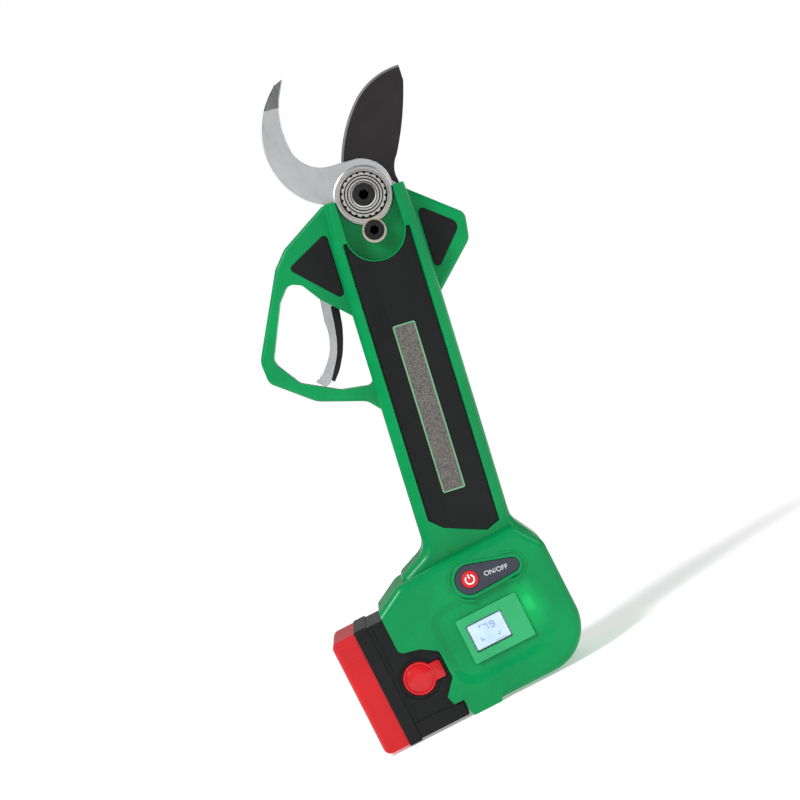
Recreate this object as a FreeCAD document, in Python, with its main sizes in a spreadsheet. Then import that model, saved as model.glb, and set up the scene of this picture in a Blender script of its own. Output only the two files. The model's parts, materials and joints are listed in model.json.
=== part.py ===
import FreeCAD, Part
import Sketcher
import math
import os
from types import SimpleNamespace
from FreeCAD import Placement, Rotation, Vector

# Battery pruner, standing on the underside of its battery pod, in millimetres.
# +Z is up, +X points away from the battery, and the front face, with the
# display, looks towards -Y. Depths named "front" are measured from the split
# plane Y=0 towards -Y; depths named "rear" are measured towards +Y.
# The handle, head and blades are drawn in a frame of their own: its origin is
# the blade pivot, its z runs up the handle, and it leans by lean_deg.

SIZES = [
    ("lean_deg", 9.9, "lean of the handle away from vertical, degrees"),
    ("junction_x", 2.9, "where the handle axis meets the pod, across"),
    ("junction_z", 63.1, "where the handle axis meets the pod, height"),
    ("handle_length", 172.0, "pod junction to blade pivot, along the handle"),
    ("handle_half", 21.0, "half the width of the handle"),
    ("handle_front", 19.0, "handle depth in front of the split plane"),
    ("handle_rear", 22.0, "handle depth behind the split plane"),
    ("handle_round", 5.0, "rounding of the handle's long edges"),
    ("wall", 2.4, "wall of the moulded housing"),
    ("guard_front", 9.0, "guard plate depth in front of the split plane"),
    ("guard_rear", 8.0, "guard plate depth behind the split plane"),
    ("guard_round", 2.0, "rounding of the guard plate's outer edges"),
    ("pod_left", -47.5, "pod mouth, battery side"),
    ("pod_right", 33.8, "pod wall away from the battery"),
    ("pod_top", 68.6, "top of the pod beside the handle"),
    ("pod_floor", 1.3, "underside of the pod"),
    ("pod_half", 28.0, "half the thickness of the pod"),
    ("pod_corner", 22.0, "radius of the pod's lower outer corner"),
    ("pod_round", 4.0, "rounding of the pod's face edges"),
    ("lip_left", -30.8, "battery side of the foot lip"),
    ("lip_right", -15.0, "inner end of the foot lip"),
    ("notch_top", 39.0, "top of the notch in the pod mouth"),
    ("battery_left", -73.8, "outer face of the battery end cap"),
    ("battery_half", 25.0, "half the thickness of the battery"),
    ("battery_top", 57.3, "top of the battery"),
    ("cap_length", 12.0, "depth of the red end cap"),
    ("collar_length", 6.0, "width of the collar behind the cap"),
    ("battery_wall", 1.6, "wall of the battery case"),
    ("tongue_half", 20.3, "half thickness of the part inside the pod"),
    ("tongue_right", 21.7, "inner end of the battery"),
    ("tongue_bottom", 5.7, "underside of the part inside the pod"),
    ("slide_gap", 0.3, "clearance round the sliding battery"),
    ("cradle_wall", 1.6, "wall of the battery cradle"),
    ("cell_radius", 9.1, "radius of one cell"),
    ("cell_length", 65.0, "length of one cell"),
    ("bolt_radius", 5.0, "radius of the pivot bolt"),
    ("run_gap", 0.05, "running clearance, radial"),
    ("bush_radius", 7.0, "outer radius of the pivot bush"),
    ("hub_radius", 17.5, "radius of the cutting blade's hub"),
    ("hook_thick", 3.6, "thickness of the fixed hook blade"),
    ("blade_thick", 3.0, "thickness of the cutting blade"),
    ("blade_plane", 5.0, "front depth of the plane where the blades meet"),
    ("sector_thick", 2.75, "thickness of the gear sector"),
    ("sector_radius", 24.0, "mean radius of the face gear teeth"),
    ("tooth_radial", 4.0, "radial length of a face gear tooth"),
    ("tooth_rise", 1.5, "height of a face gear tooth"),
    ("pinion_teeth", 9, "teeth on the drive pinion"),
    ("pinion_ratio", 6, "turns of the pinion for one of the blade"),
    ("tip_gap", 0.15, "gap between a tooth tip and the gear it meets"),
    ("motor_radius", 12.5, "radius of the motor and gearbox"),
    ("gearbox_length", 32.0, "length of the gearbox"),
    ("motor_length", 56.0, "length of the motor"),
    ("boss_radius", 13.5, "radius of the hook blade's pivot boss"),
    ("recess_radius", 13.6, "half width of the recess round the lock nut"),
    ("recess_front", 11.0, "depth of the recessed face under the lock nut"),
    ("nut_radius", 10.2, "radius of the notched lock nut"),
    ("nut_height", 4.6, "height of the lock nut"),
    ("nut_notches", 20, "notches round the lock nut"),
    ("plate_thick", 1.2, "thickness of the lock plate"),
    ("ear_drop", 16.6, "lock plate screw, below the pivot"),
    ("ear_radius", 5.8, "radius of the lock plate's ear"),
    ("trigger_back", -3.8, "rear face of the trigger, front depth"),
    ("trigger_front", 5.8, "front face of the trigger, front depth"),
    ("trigger_pin_radius", 1.5, "radius of the trigger's pin"),
    ("front_grip_half", 15.6, "half the width of the front grip panel"),
    ("rear_grip_half", 13.0, "half the width of the rear grip panel"),
    ("grip_step", 1.5, "depth of the recess that holds a grip panel"),
    ("grip_proud", 0.6, "height of a grip panel above the housing"),
    ("trim_gap", 0.2, "clearance round a panel in its recess"),
    ("insert_thick", 1.0, "thickness of a guard insert"),
    ("button_radius", 7.6, "radius of a battery release button"),
    ("button_height", 26.0, "height of the release buttons"),
    ("button_x", -44.3, "release buttons, across"),
    ("button_travel", 1.5, "stroke of a release button"),
    ("power_radius", 3.9, "radius of the power button"),
    ("screw_radius", 1.25, "radius of a housing screw's shank"),
    ("screw_head", 2.6, "radius of a housing screw's head"),
]

doc = FreeCAD.newDocument("battery_pruner")
sheet = doc.addObject("Spreadsheet::Sheet", "dims")
for row, (alias, number, note) in enumerate(SIZES, 1):
    sheet.set(f"A{row}", note)
    sheet.set(f"B{row}", str(number))
    sheet.setAlias(f"B{row}", alias)
doc.recompute()
s = SimpleNamespace(**{alias: sheet.get(alias) for alias, _, _ in SIZES})

LEAN = math.radians(s.lean_deg)
PIVOT = Vector(s.junction_x + s.handle_length * math.sin(LEAN), 0,
               s.junction_z + s.handle_length * math.cos(LEAN))
HANDLE = Placement(PIVOT, Rotation(Vector(0, 1, 0), s.lean_deg))
NODES = []


# ---------------------------------------------------------------- helpers

def corners(*points):
    """Closed outline: straight sides with a radius at each (x, z, radius)."""
    edges = []
    rounds = []
    for i, (x, z, r) in enumerate(points):
        here = Vector(x, z, 0)
        before = Vector(*points[i - 1][:2], 0) - here
        after = Vector(*points[(i + 1) % len(points)][:2], 0) - here
        if r <= 0:
            rounds.append((here, here, here))
            continue
        half = before.getAngle(after) / 2
        reach = r / math.tan(half)
        before.normalize()
        after.normalize()
        middle = (before + after).normalize() * (r / math.sin(half) - r)
        rounds.append((here + before * reach, here + middle, here + after * reach))
    for i, (start, mid, end) in enumerate(rounds):
        if (end - start).Length > 1e-6:
            edges.append(Part.Arc(start, mid, end))
        following = rounds[(i + 1) % len(rounds)][0]
        if (following - end).Length > 1e-6:
            edges.append(Part.LineSegment(end, following))
    return edges


def path(start, *steps):
    """Closed outline: a step of one point is a line, of two an arc."""
    edges = []
    here = Vector(*start, 0)
    for step in steps:
        if len(step) == 2 and isinstance(step[0], tuple):
            mid = Vector(*step[0], 0)
            end = Vector(*step[1], 0)
            edges.append(Part.Arc(here, mid, end))
        else:
            end = Vector(*step, 0)
            edges.append(Part.LineSegment(here, end))
        here = end
    return edges


def circle(x, z, r):
    return [Part.Circle(Vector(x, z, 0), Vector(0, 0, 1), r)]


def polar(r, degrees):
    a = math.radians(degrees)
    return (r * math.cos(a), r * math.sin(a))


def bound(text):
    """A sheet expression from plain names: 'wall + 1' is 'dims.wall + 1'."""
    words = [("dims." + w if w[0].isalpha() and not w.endswith("(") else w)
             for w in text.split()]
    return " ".join(words)


def new_body(name, placement=None):
    body = doc.addObject("PartDesign::Body", name)
    body.Label = name
    if placement:
        body.Placement = placement
    NODES.append(body)
    return body


def sketch(body, outlines, start="0", sign=1, tilt=False, plane="XZ_Plane"):
    """Sketch on one of the body's own planes, start away from it."""
    origin = [f for f in body.Origin.OriginFeatures if f.Role == plane][0]
    flat = body.newObject("Sketcher::SketchObject", body.Name + "_sketch")
    flat.AttachmentSupport = [(origin, "")]
    flat.MapMode = "FlatFace"
    if tilt:
        flat.AttachmentOffset = Placement(Vector(PIVOT.x, PIVOT.z, 0),
                                          Rotation(Vector(0, 0, 1), -s.lean_deg))
    flat.setExpression("AttachmentOffset.Base.z", f"{sign} * ( {bound(start)} )")
    for outline in outlines:
        flat.addGeometry(outline, False)
    return flat


def pad(body, outlines, start, end, rear=False, **place):
    """Add material between two depths, measured to the front or the rear."""
    profile = sketch(body, outlines, start, -1 if rear else 1, **place)
    feature = body.newObject("PartDesign::Pad", body.Name + "_pad")
    feature.Profile = profile
    feature.Reversed = rear
    feature.setExpression("Length", bound(f"{end} - ( {start} )"))
    profile.Visibility = False
    doc.recompute()
    return feature


def cut(body, outlines, start, end, rear=False, **place):
    """Remove material between two depths."""
    before = body.Shape.Volume
    profile = sketch(body, outlines, start, -1 if rear else 1, **place)
    feature = body.newObject("PartDesign::Pocket", body.Name + "_pocket")
    feature.Profile = profile
    feature.Reversed = not rear
    feature.setExpression("Length", bound(f"{end} - ( {start} )"))
    doc.recompute()
    if not body.Shape.Volume < before - 1e-6:
        raise RuntimeError(body.Label + ": a pocket cut nothing")
    return feature


def soften(body, radius, test):
    """Fillet the edges whose points all pass the test."""
    shape = body.Shape
    names = []
    for i, edge in enumerate(shape.Edges, 1):
        points = [edge.valueAt(edge.FirstParameter + f *
                               (edge.LastParameter - edge.FirstParameter))
                  for f in (0.0, 0.5, 1.0)]
        if all(test(p) for p in points):
            names.append(f"Edge{i}")
    base = body.Tip
    feature = body.newObject("PartDesign::Fillet", body.Name + "_fillet")
    feature.Base = (base, names)
    feature.setExpression("Radius", bound(radius))
    doc.recompute()
    return feature


def plate(name, outlines, start, end, placement=None):
    body = new_body(name, placement)
    pad(body, outlines, start, end)
    return body


def group(name, solids, placement=None):
    """Several separate solids, or a shape that features can't make."""
    piece = doc.addObject("Part::Feature", name)
    piece.Label = name
    piece.Shape = solids[0] if len(solids) == 1 else Part.makeCompound(solids)
    if placement:
        piece.Placement = placement
    NODES.append(piece)
    return piece


# ---------------------------------------------------------------- outlines

HH = s.handle_half
FOOT = -s.handle_length        # the pod junction in the handle frame
EAR_HEAD = 4.6                 # radius of the lock plate screw's head
EAR_Z = -max(s.ear_drop, s.nut_radius + EAR_HEAD + s.trim_gap)

GUARD = corners(
    (-20, 0.6, 0), (-42, -13, 4), (-48.5, -20.5, 5), (-67.5, -59, 9),
    (-66.5, -69.5, 5), (-48, -83.8, 12), (-26, -90.3, 6), (-HH + 2, -98, 6),
    (-10, -100, 0), (15, -60, 0), (HH - 0.4, -52.5, 2), (40.3, -33, 5),
    (42, -21, 5), (20, -3, 3), (16, 0.6, 0))
GUARD_OPENING = corners(
    (-45, -28.5, 4), (-51, -36, 3), (-61.8, -61, 5), (-53, -73.5, 5),
    (-36, -81.8, 8), (-HH + 0.5, -84, 3), (-HH + 0.5, -51.5, 2), (-33, -39.5, 3),
    (-39, -31, 3))
HANDLE_OUTLINE = corners(
    (-19, 0.6, 0), (19, 0.6, 0), (HH, -20, 0), (HH, FOOT + 12, 12),
    (HH + 10, FOOT - 0.5, 6), (HH + 12, FOOT - 16, 0), (-HH - 14, FOOT - 16, 0),
    (-HH - 14, FOOT + 0.5, 3), (-HH, FOOT + 9, 8), (-HH, -20, 0))
POD = corners(
    (s.pod_left, s.pod_top - 8, 0), (s.pod_left + 12.7, s.pod_top - 1, 8),
    (s.junction_x - 18, s.pod_top, 0), (s.junction_x + 22, s.pod_top, 0),
    (s.pod_right, s.pod_top - 12, 9),
    (s.pod_right, s.pod_floor, s.pod_corner), (s.lip_right, s.pod_floor, 0),
    (s.lip_right - 0.9, 0, 0.5), (s.lip_left + 1.2, 0, 0.8), (s.lip_left, 3, 1.5),
    (s.lip_left, 8.7, 0.3), (s.lip_left - 4.8, 8.7, 0.3), (s.lip_left - 6, 13, 0.8),
    (s.lip_left, 20, 1), (s.lip_left, s.notch_top - 5.5, 2.5),
    (s.lip_left - 7.4, s.notch_top - 0.8, 3), (s.pod_left, s.notch_top + 1.3, 3))


def grip_outline(gap, rear=False):
    """Black grip panel, shrunk all round by gap."""
    if rear:
        side = s.rear_grip_half - gap
        return corners((-side, -30 - gap, 5), (side, -30 - gap, 5),
                       (side, FOOT + 16 + gap, 5), (-side, FOOT + 20 + gap, 5))
    side = s.front_grip_half - gap
    bow = s.recess_radius + 0.5 + gap
    horn_z = -19 - gap
    horn_x = math.sqrt(bow * bow - (horn_z + 17) ** 2)
    return path((-side, horn_z), (-horn_x, horn_z), ((0, -17 - bow), (horn_x, horn_z)),
                (side, horn_z), (side, FOOT + 13 + gap), (9, FOOT + 10.3 + gap),
                (-10, FOOT + 17 + gap), (-side, FOOT + 22 + gap), (-side, horn_z))


def left_insert(gap):
    side = -HH - 0.4 - gap
    return corners((side, -11 - gap, 2), (-43 + 2 * gap, -22.2, 2),
                   (side, -44 + 2 * gap, 2))


def right_insert(gap):
    side = HH + 0.4 + gap
    return corners((side, -11 - gap, 2), (38.5 - gap, -24.8, 4),
                   (side, -44 + 2 * gap, 2))


SCREW_SPOTS = [(33.5, -21.5), (-42.5, -19.5), (-57.2, -71.8),
               (16.3, -78), (-16.3, -122), (16.3, -140)]
HUB_ROOM = s.sector_radius + s.tooth_radial / 2 + 2
NECK_ROOM = corners((-8, -36, 0), (8, -36, 0), (8, -20, 0), (-8, -20, 0))


# ---------------------------------------------------------------- housing

def housing(name, rear):
    """One moulded half of the housing, open at the split plane."""
    side = 1 if rear else -1
    guard = "guard_rear" if rear else "guard_front"
    handle = "handle_rear" if rear else "handle_front"
    depth = side * (s.handle_rear if rear else s.handle_front)
    guard_depth = side * (s.guard_rear if rear else s.guard_front)
    inner = HANDLE.inverse()
    body = new_body(name)

    pad(body, [GUARD], "0", guard, rear, tilt=True)
    soften(body, "guard_round", lambda p: abs(p.y - guard_depth) < 1e-4
           and abs(inner.multVec(p).x) > HH - 2.2)
    pad(body, [HANDLE_OUTLINE], "0", handle, rear, tilt=True)
    soften(body, "handle_round", lambda p: abs(p.y - depth) < 1e-4
           and 0.1 > inner.multVec(p).z > FOOT - 17
           and abs(inner.multVec(p).x) > HH - 2.2)
    cut(body, [grip_outline(0, rear)], handle + " - grip_step", handle + " + 5", rear,
        tilt=True)
    pad(body, [POD], "0", "pod_half", rear)
    soften(body, "pod_round", lambda p: abs(p.y - side * s.pod_half) < 1e-4
           and p.x > s.pod_left + 3 and (p.x > s.lip_right or p.z > s.notch_top + 3))

    cut(body, [GUARD_OPENING], "0", guard, rear, tilt=True)
    # battery bay: a wide mouth, then the room round the cradle
    mouth = corners((s.pod_left - 5, -5, 0), (s.lip_left - 0.2, -5, 0),
                    (s.lip_left - 0.2, s.battery_top + s.slide_gap, 0),
                    (s.pod_left - 5, s.battery_top + s.slide_gap, 0))
    cut(body, [mouth], "0", "battery_half + slide_gap", rear)
    bay_top = s.battery_top + s.cradle_wall + 0.5
    bay = corners((s.lip_left - 1, s.pod_floor + s.wall, 0),
                  (s.pod_right - s.wall, s.pod_floor + s.wall, s.pod_corner - s.wall),
                  (s.pod_right - s.wall, bay_top, 2), (s.lip_left - 1, bay_top, 0))
    cut(body, [bay], "0", "pod_half - wall", rear)
    # handle cavity for the drive, deepest behind the grip recess
    half = HH - s.wall
    roof = corners((-half, -32, 1), (half, -32, 1), (half, FOOT + 5, 0),
                   (-half, FOOT + 1, 0))
    cavity = "handle_rear - grip_step - wall" if rear else "handle_front - grip_step - wall"
    cut(body, [roof], "0", cavity, rear, tilt=True)
    for x, z in SCREW_SPOTS:
        if abs(x) < HH:
            pad(body, [circle(x, z, s.screw_radius + 1.1)], "0", cavity + " + 0.5", rear,
                tilt=True)
    # head: room for the gear sector, and for the hub where the blades come out
    reach = "tooth_rise + wall" if rear else "blade_plane - blade_thick + slide_gap"
    cut(body, [path((-18.4, 3), (-18.4, -9), (-26, -13),
                    ((0, -HUB_ROOM - 0.2), (26, -13)), (18.4, -9), (18.4, 3),
                    (-18.4, 3))], "0", reach, rear, tilt=True)
    if rear:
        cut(body, [NECK_ROOM], "0", "handle_rear - grip_step - wall - 4", rear, tilt=True)
        cut(body, [circle(0, 0, s.nut_radius)], "0", "handle_rear + 5", rear, tilt=True)
    else:
        cut(body, [NECK_ROOM], "0", "2.4", rear, tilt=True)
        slot = path((-18.4, 3), (-18.4, -3), ((0, -18.4), (18.4, -3)), (18.4, 3),
                    (-18.4, 3))
        cut(body, [slot], "0", "blade_plane + hook_thick", rear, tilt=True)
        r = s.recess_radius
        recess = path((-r, 5), (-r, -17), ((0, -17 - r), (r, -17)), (r, 5), (-r, 5))
        cut(body, [recess], "recess_front", "handle_front + 5", rear, tilt=True)
        cut(body, [circle(0, 0, s.boss_radius + s.slide_gap)], "0",
            "handle_front + 5", rear, tilt=True)
        cut(body, [circle(0, EAR_Z, s.screw_radius + 0.3)],
            "blade_plane", "handle_front + 5", rear, tilt=True)
    # trigger slot through the left wing
    slot = corners((-40, -41, 2), (-35.5, -28.5, 4), (-28, -26, 4), (-22, -29, 3),
                   (-19.5, -38, 2), (-19.5, -54, 1), (-30, -56, 1), (-38, -50, 1))
    trigger = ("slide_gap - trigger_back" if rear else "trigger_front + slide_gap")
    cut(body, [slot], "0", trigger, rear, tilt=True)
    cut(body, [circle(-28, -33, s.trigger_pin_radius + s.run_gap)], "0",
        guard + " - 1.2", rear, tilt=True)
    # recesses for the two guard inserts
    for insert in (left_insert(0), right_insert(0)):
        cut(body, [insert], guard + " - insert_thick + 0.2", guard + " + 1", rear,
            tilt=True)
    return body


def front_details(body):
    """Recesses in the pod's front face for the display and the power panel."""
    cut(body, [BEZEL_RECESS], "pod_half - 1.6", "pod_half + 1")
    cut(body, [corners((-15.2, 25, 1), (2.0, 25, 1), (2.0, 37.2, 1), (-15.2, 37.2, 1))],
        "pod_half - wall - 1", "pod_half")
    cut(body, [power_outline(0)], "pod_half - 0.8", "pod_half + 1")
    cut(body, [circle(*POWER, s.power_radius + 0.25)], "pod_half - wall - 1", "pod_half")


POWER = (-3.8, 56.0)


def power_outline(gap):
    """Teardrop panel round the power button."""
    x0, z0 = POWER
    r0 = 7.0 - gap
    x1, z1, r1 = x0 + 20, z0 - 2.6, 3.5 - gap
    tilt = math.degrees(math.atan2(z1 - z0, x1 - x0))
    spread = math.degrees(math.acos((r0 - r1) / math.hypot(x1 - x0, z1 - z0)))

    def on(x, z, r, a):
        dx, dz = polar(r, a)
        return (x + dx, z + dz)
    return path(on(x0, z0, r0, tilt + spread),
                (on(x0, z0, r0, tilt + 180), on(x0, z0, r0, tilt - spread)),
                on(x1, z1, r1, tilt - spread),
                (on(x1, z1, r1, tilt), on(x1, z1, r1, tilt + spread)),
                on(x0, z0, r0, tilt + spread))


BEZEL_RECESS = corners((-18.8, 20, 3), (11.9, 20, 3), (11.9, 42, 3), (-18.8, 42, 3))

front = housing("front_housing", False)
front_details(front)
rear = housing("rear_housing", True)

# screws from the rear, in holes through both halves that stop behind the face
shank_gap = s.screw_radius + s.run_gap
for x, z in SCREW_SPOTS:
    on_guard = abs(x) > HH
    rear_depth = "guard_rear" if on_guard else "handle_rear"
    front_stop = "guard_front - 3" if on_guard else "handle_front - grip_step - wall - 1"
    cut(rear, [circle(x, z, shank_gap)], "0", rear_depth + " + 1", True, tilt=True)
    cut(rear, [circle(x, z, s.screw_head + 0.1)], rear_depth + " - 3.6",
        rear_depth + " + 1", True, tilt=True)
    cut(front, [circle(x, z, shank_gap)], "0", front_stop, False, tilt=True)


def handle_cylinder(r, z_low, z_high, y, x=0.0):
    """Cylinder along the handle, drawn in the handle frame."""
    return Part.makeCylinder(r, z_high - z_low, Vector(x, y, z_low))


def block(x0, x1, z0, z1, front_back, front_front):
    """Box between two front depths."""
    return Part.makeBox(x1 - x0, front_front - front_back, z1 - z0,
                        Vector(x0, -front_front, z0))


def disc(x, z, r, back, front):
    """Cylinder along Y between two front depths."""
    return Part.makeCylinder(r, front - back, Vector(x, -front, z), Vector(0, 1, 0))


# screws: a countersunk-free pan head and a plain shank, one group per kind
screws = []
for x, z in SCREW_SPOTS:
    depth = s.guard_rear if abs(x) > HH else s.handle_rear
    head = disc(x, z, s.screw_head, -depth + 1.4, -depth + 3.6)
    tip = s.guard_front - 3.2
    if abs(x) < HH:
        tip = s.handle_front - s.grip_step - s.wall - 1.2
    shank = disc(x, z, s.screw_radius, -depth + 3.6, tip)
    screws.append(head.fuse(shank))
group("housing_screws", screws, HANDLE)

# ---------------------------------------------------------------- blades

HOOK = path((-20, 61.3), (-25, 59.5), ((-36.9, 38), (-34.2, 16.6)),
            ((-27.2, 6.6), (-17.9, 1.0)), (-17.9, -1.0), ((0, -17.9), (17.9, -1.0)),
            (14.2, 3),
            ((8, 14.5), (2, 17)), (-10, 17.2), ((-20, 20.3), (-25.5, 28)),
            ((-26.6, 40), (-24, 53)), (-20, 61.3))
hook = plate("hook_blade", [HOOK, circle(0, 0, s.bolt_radius + s.run_gap)],
             "blade_plane", "blade_plane + hook_thick", HANDLE)
pad(hook, [circle(0, 0, s.boss_radius), circle(0, 0, s.bolt_radius + s.run_gap)],
    "blade_plane + hook_thick", "recess_front")

R_HUB = s.hub_radius
BLADE = path((-5.5, 17), ((0, 30), (10, 43.5)), ((20, 50), (32.7, 52.5)),
             (32.8, 45), ((28.6, 32), (20, 13.5)), ((17, 7), polar(R_HUB, 3)),
             (polar(R_HUB, -90), polar(R_HUB, 150)),
             (polar(R_HUB, 120), (-5.5, 17)))
blade = plate("cutting_blade", [BLADE, circle(0, 0, s.bush_radius + s.run_gap)],
              "blade_plane - blade_thick", "blade_plane", HANDLE)
DRIVE_PINS = [polar(15.2, 52 + 120 * k) for k in range(3)]
PIN_R = 1.5
for x, z in DRIVE_PINS:
    cut(blade, [circle(x, z, PIN_R + s.run_gap)], "blade_plane - blade_thick", "blade_plane")

# gear sector behind the blade: a face gear whose teeth look to the rear
sector_front = s.blade_plane - s.blade_thick
sector_back = sector_front - s.sector_thick
PITCH = 360.0 / (s.pinion_teeth * s.pinion_ratio)
SWING = 52.0
outer = s.sector_radius + s.tooth_radial / 2 + 0.5
low, high = -90 - SWING - 1.5 * PITCH, -90 + 1.5 * PITCH
SECTOR = path(polar(R_HUB, high), (polar(R_HUB, 60), polar(R_HUB, low)),
              polar(outer, low),
              (polar(outer, (low + high) / 2), polar(outer, high)),
              polar(R_HUB, high))
sector = plate("sector_gear", [SECTOR, circle(0, 0, s.bush_radius + s.run_gap)],
               "blade_plane - blade_thick - sector_thick", "blade_plane - blade_thick",
               HANDLE)
for x, z in DRIVE_PINS:
    cut(sector, [circle(x, z, PIN_R + s.run_gap)],
        "blade_plane - blade_thick - sector_thick", "blade_plane - blade_thick")
teeth = []
for k in range(-8, 2):
    angle = -90 + (k - 0.5) * PITCH
    r_in = s.sector_radius - s.tooth_radial / 2
    r_out = s.sector_radius + s.tooth_radial / 2
    wide = math.degrees(0.42 / s.sector_radius)
    teeth.append(corners(*[(*polar(r, angle + w), 0) for r, w in
                           ((r_in, -wide), (r_out, -wide), (r_out, wide), (r_in, wide))]))
tooth_base = "blade_plane - blade_thick - sector_thick"
pad(sector, teeth, tooth_base + " - tooth_rise", tooth_base)

group("drive_pins", [disc(x, z, PIN_R, sector_back, s.blade_plane)
                     for x, z in DRIVE_PINS], HANDLE)
plate("pivot_bush", [circle(0, 0, s.bush_radius),
                     circle(0, 0, s.bolt_radius + s.run_gap)],
      "blade_plane - blade_thick - sector_thick", "blade_plane", HANDLE)
plate("thrust_washer", [circle(0, 0, 9.0),
                        circle(0, 0, s.bolt_radius + s.run_gap)],
      "blade_plane - blade_thick - sector_thick - plate_thick",
      "blade_plane - blade_thick - sector_thick", HANDLE)

# pivot bolt: a hexagon head at the rear, a hexagon socket at the front
bolt = plate("pivot_bolt", [circle(0, 0, s.bolt_radius)],
             "blade_plane - blade_thick - sector_thick - plate_thick",
             "recess_front + plate_thick + nut_height + 0.8", HANDLE)
BOLT_HEX = 8.6                 # centre to corner of the bolt head
SOCKET_HEX = 2.4               # centre to corner of its socket
hexagon = corners(*[(*polar(BOLT_HEX, 30 + 60 * k), 0) for k in range(6)])
pad(bolt, [hexagon],
    "blade_plane - blade_thick - sector_thick - plate_thick - 6",
    "blade_plane - blade_thick - sector_thick - plate_thick")
socket = corners(*[(*polar(SOCKET_HEX, 60 * k), 0) for k in range(6)])
cut(bolt, [socket], "recess_front + plate_thick + nut_height - 2",
    "recess_front + plate_thick + nut_height + 0.8")

# lock nut: round, with half-round notches that take the lock plate or a spanner
nut = plate("lock_nut", [circle(0, 0, s.nut_radius),
                         circle(0, 0, s.bolt_radius + s.run_gap)],
            "recess_front + plate_thick", "recess_front + plate_thick + nut_height",
            HANDLE)
notch = [circle(*polar(s.nut_radius, 360 * k / s.nut_notches), 0.7)
         for k in range(int(s.nut_notches))]
cut(nut, notch, "recess_front + plate_thick", "recess_front + plate_thick + nut_height")

LOCK_PLATE = path(polar(11.5, -108), (polar(11.5, 90), polar(11.5, -72)),
                  (3.6, -12.3), (3.6, -12.5),
                  ((0, EAR_Z - s.ear_radius), (-3.6, -12.5)),
                  polar(11.5, -108))
plate("lock_plate", [LOCK_PLATE, circle(0, 0, s.bolt_radius + s.run_gap),
                     circle(0, EAR_Z, s.screw_radius + 0.3)],
      "recess_front", "recess_front + plate_thick", HANDLE)
ear_screw = plate("lock_plate_screw", [circle(0, EAR_Z, EAR_HEAD)],
                  "recess_front + plate_thick", "recess_front + plate_thick + 3", HANDLE)
pad(ear_screw, [circle(0, EAR_Z, s.screw_radius + 0.25)], "recess_front - 2.2",
    "recess_front + plate_thick")
cut(ear_screw, [corners(*[(r[0], r[1] + EAR_Z, 0) for r in
                          (polar(2.1, 60 * k) for k in range(6))])],
    "recess_front + plate_thick + 1", "recess_front + plate_thick + 3")

# ---------------------------------------------------------------- drive

AXIS_Y = -sector_back + s.tooth_rise / 2 + s.sector_radius / s.pinion_ratio
pinion_tip = AXIS_Y + sector_back - s.tip_gap
pinion_root = AXIS_Y + sector_back - s.tooth_rise - s.tip_gap - 0.1
pinion_top = -s.sector_radius + s.tooth_radial / 2 + 0.3
pinion_low = -s.sector_radius - s.tooth_radial / 2 - 0.3


def pinion_profile():
    """Outline of the pinion seen along the handle, around its own axis."""
    points = []
    for k in range(int(s.pinion_teeth)):
        # one tooth points at the gap between two face gear teeth
        angle = -90 + 360.0 * k / s.pinion_teeth
        for r, half in ((pinion_root, 13), (pinion_tip, 4), (pinion_tip, -4),
                        (pinion_root, -13)):
            dx, dy = polar(r, angle - half)
            points.append(Vector(dx, AXIS_Y + dy, 0))
    points.append(points[0])
    return Part.Face(Part.makePolygon(points))


bearing_top = pinion_low - 1.0
bearing_low = bearing_top - 4.0
gearbox_top = bearing_low - 0.6
gearbox_low = gearbox_top - s.gearbox_length
motor_low = gearbox_low - s.motor_length
toothed = pinion_profile().extrude(Vector(0, 0, pinion_top - pinion_low))
toothed.translate(Vector(0, 0, pinion_low))
SHAFT_R = 2.5
shaft = handle_cylinder(SHAFT_R, gearbox_top - 4, pinion_low, AXIS_Y)
group("drive_pinion", [toothed.fuse(shaft)], HANDLE)
BEARING_R = 6.2
group("pinion_bearing", [handle_cylinder(BEARING_R, bearing_low, bearing_top, AXIS_Y).cut(
    handle_cylinder(SHAFT_R + s.run_gap, bearing_low - 1, bearing_top + 1, AXIS_Y))], HANDLE)
gearbox = handle_cylinder(s.motor_radius, gearbox_low, gearbox_top - 3, AXIS_Y)
gearbox = gearbox.fuse(handle_cylinder(BEARING_R + 1.3, gearbox_top - 3, bearing_top - 1,
                                       AXIS_Y))
gearbox = gearbox.cut(handle_cylinder(BEARING_R, bearing_low, bearing_top, AXIS_Y))
gearbox = gearbox.cut(handle_cylinder(SHAFT_R + s.run_gap, gearbox_top - 4, bearing_top,
                                      AXIS_Y))
group("gearbox", [gearbox], HANDLE)
group("motor_can", [handle_cylinder(s.motor_radius - 0.4, motor_low + 4, gearbox_low,
                                    AXIS_Y)], HANDLE)
group("motor_end_bell", [handle_cylinder(s.motor_radius - 1.2, motor_low, motor_low + 4,
                                         AXIS_Y)], HANDLE)
board_top = motor_low - 8
leads = [handle_cylinder(0.9, board_top, motor_low, AXIS_Y - 4.2, x) for x in (-6, 6)]
group("motor_leads", leads, HANDLE)
board_half = HH - s.wall - 5.2
board = corners((-board_half, board_top, 1), (board_half, board_top, 1),
                (board_half, FOOT + 6, 1), (-board_half, FOOT + 6, 1))
plate("controller_board", [board], "0 - 3", "0 - 1.4", HANDLE)

# ---------------------------------------------------------------- trigger

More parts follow.
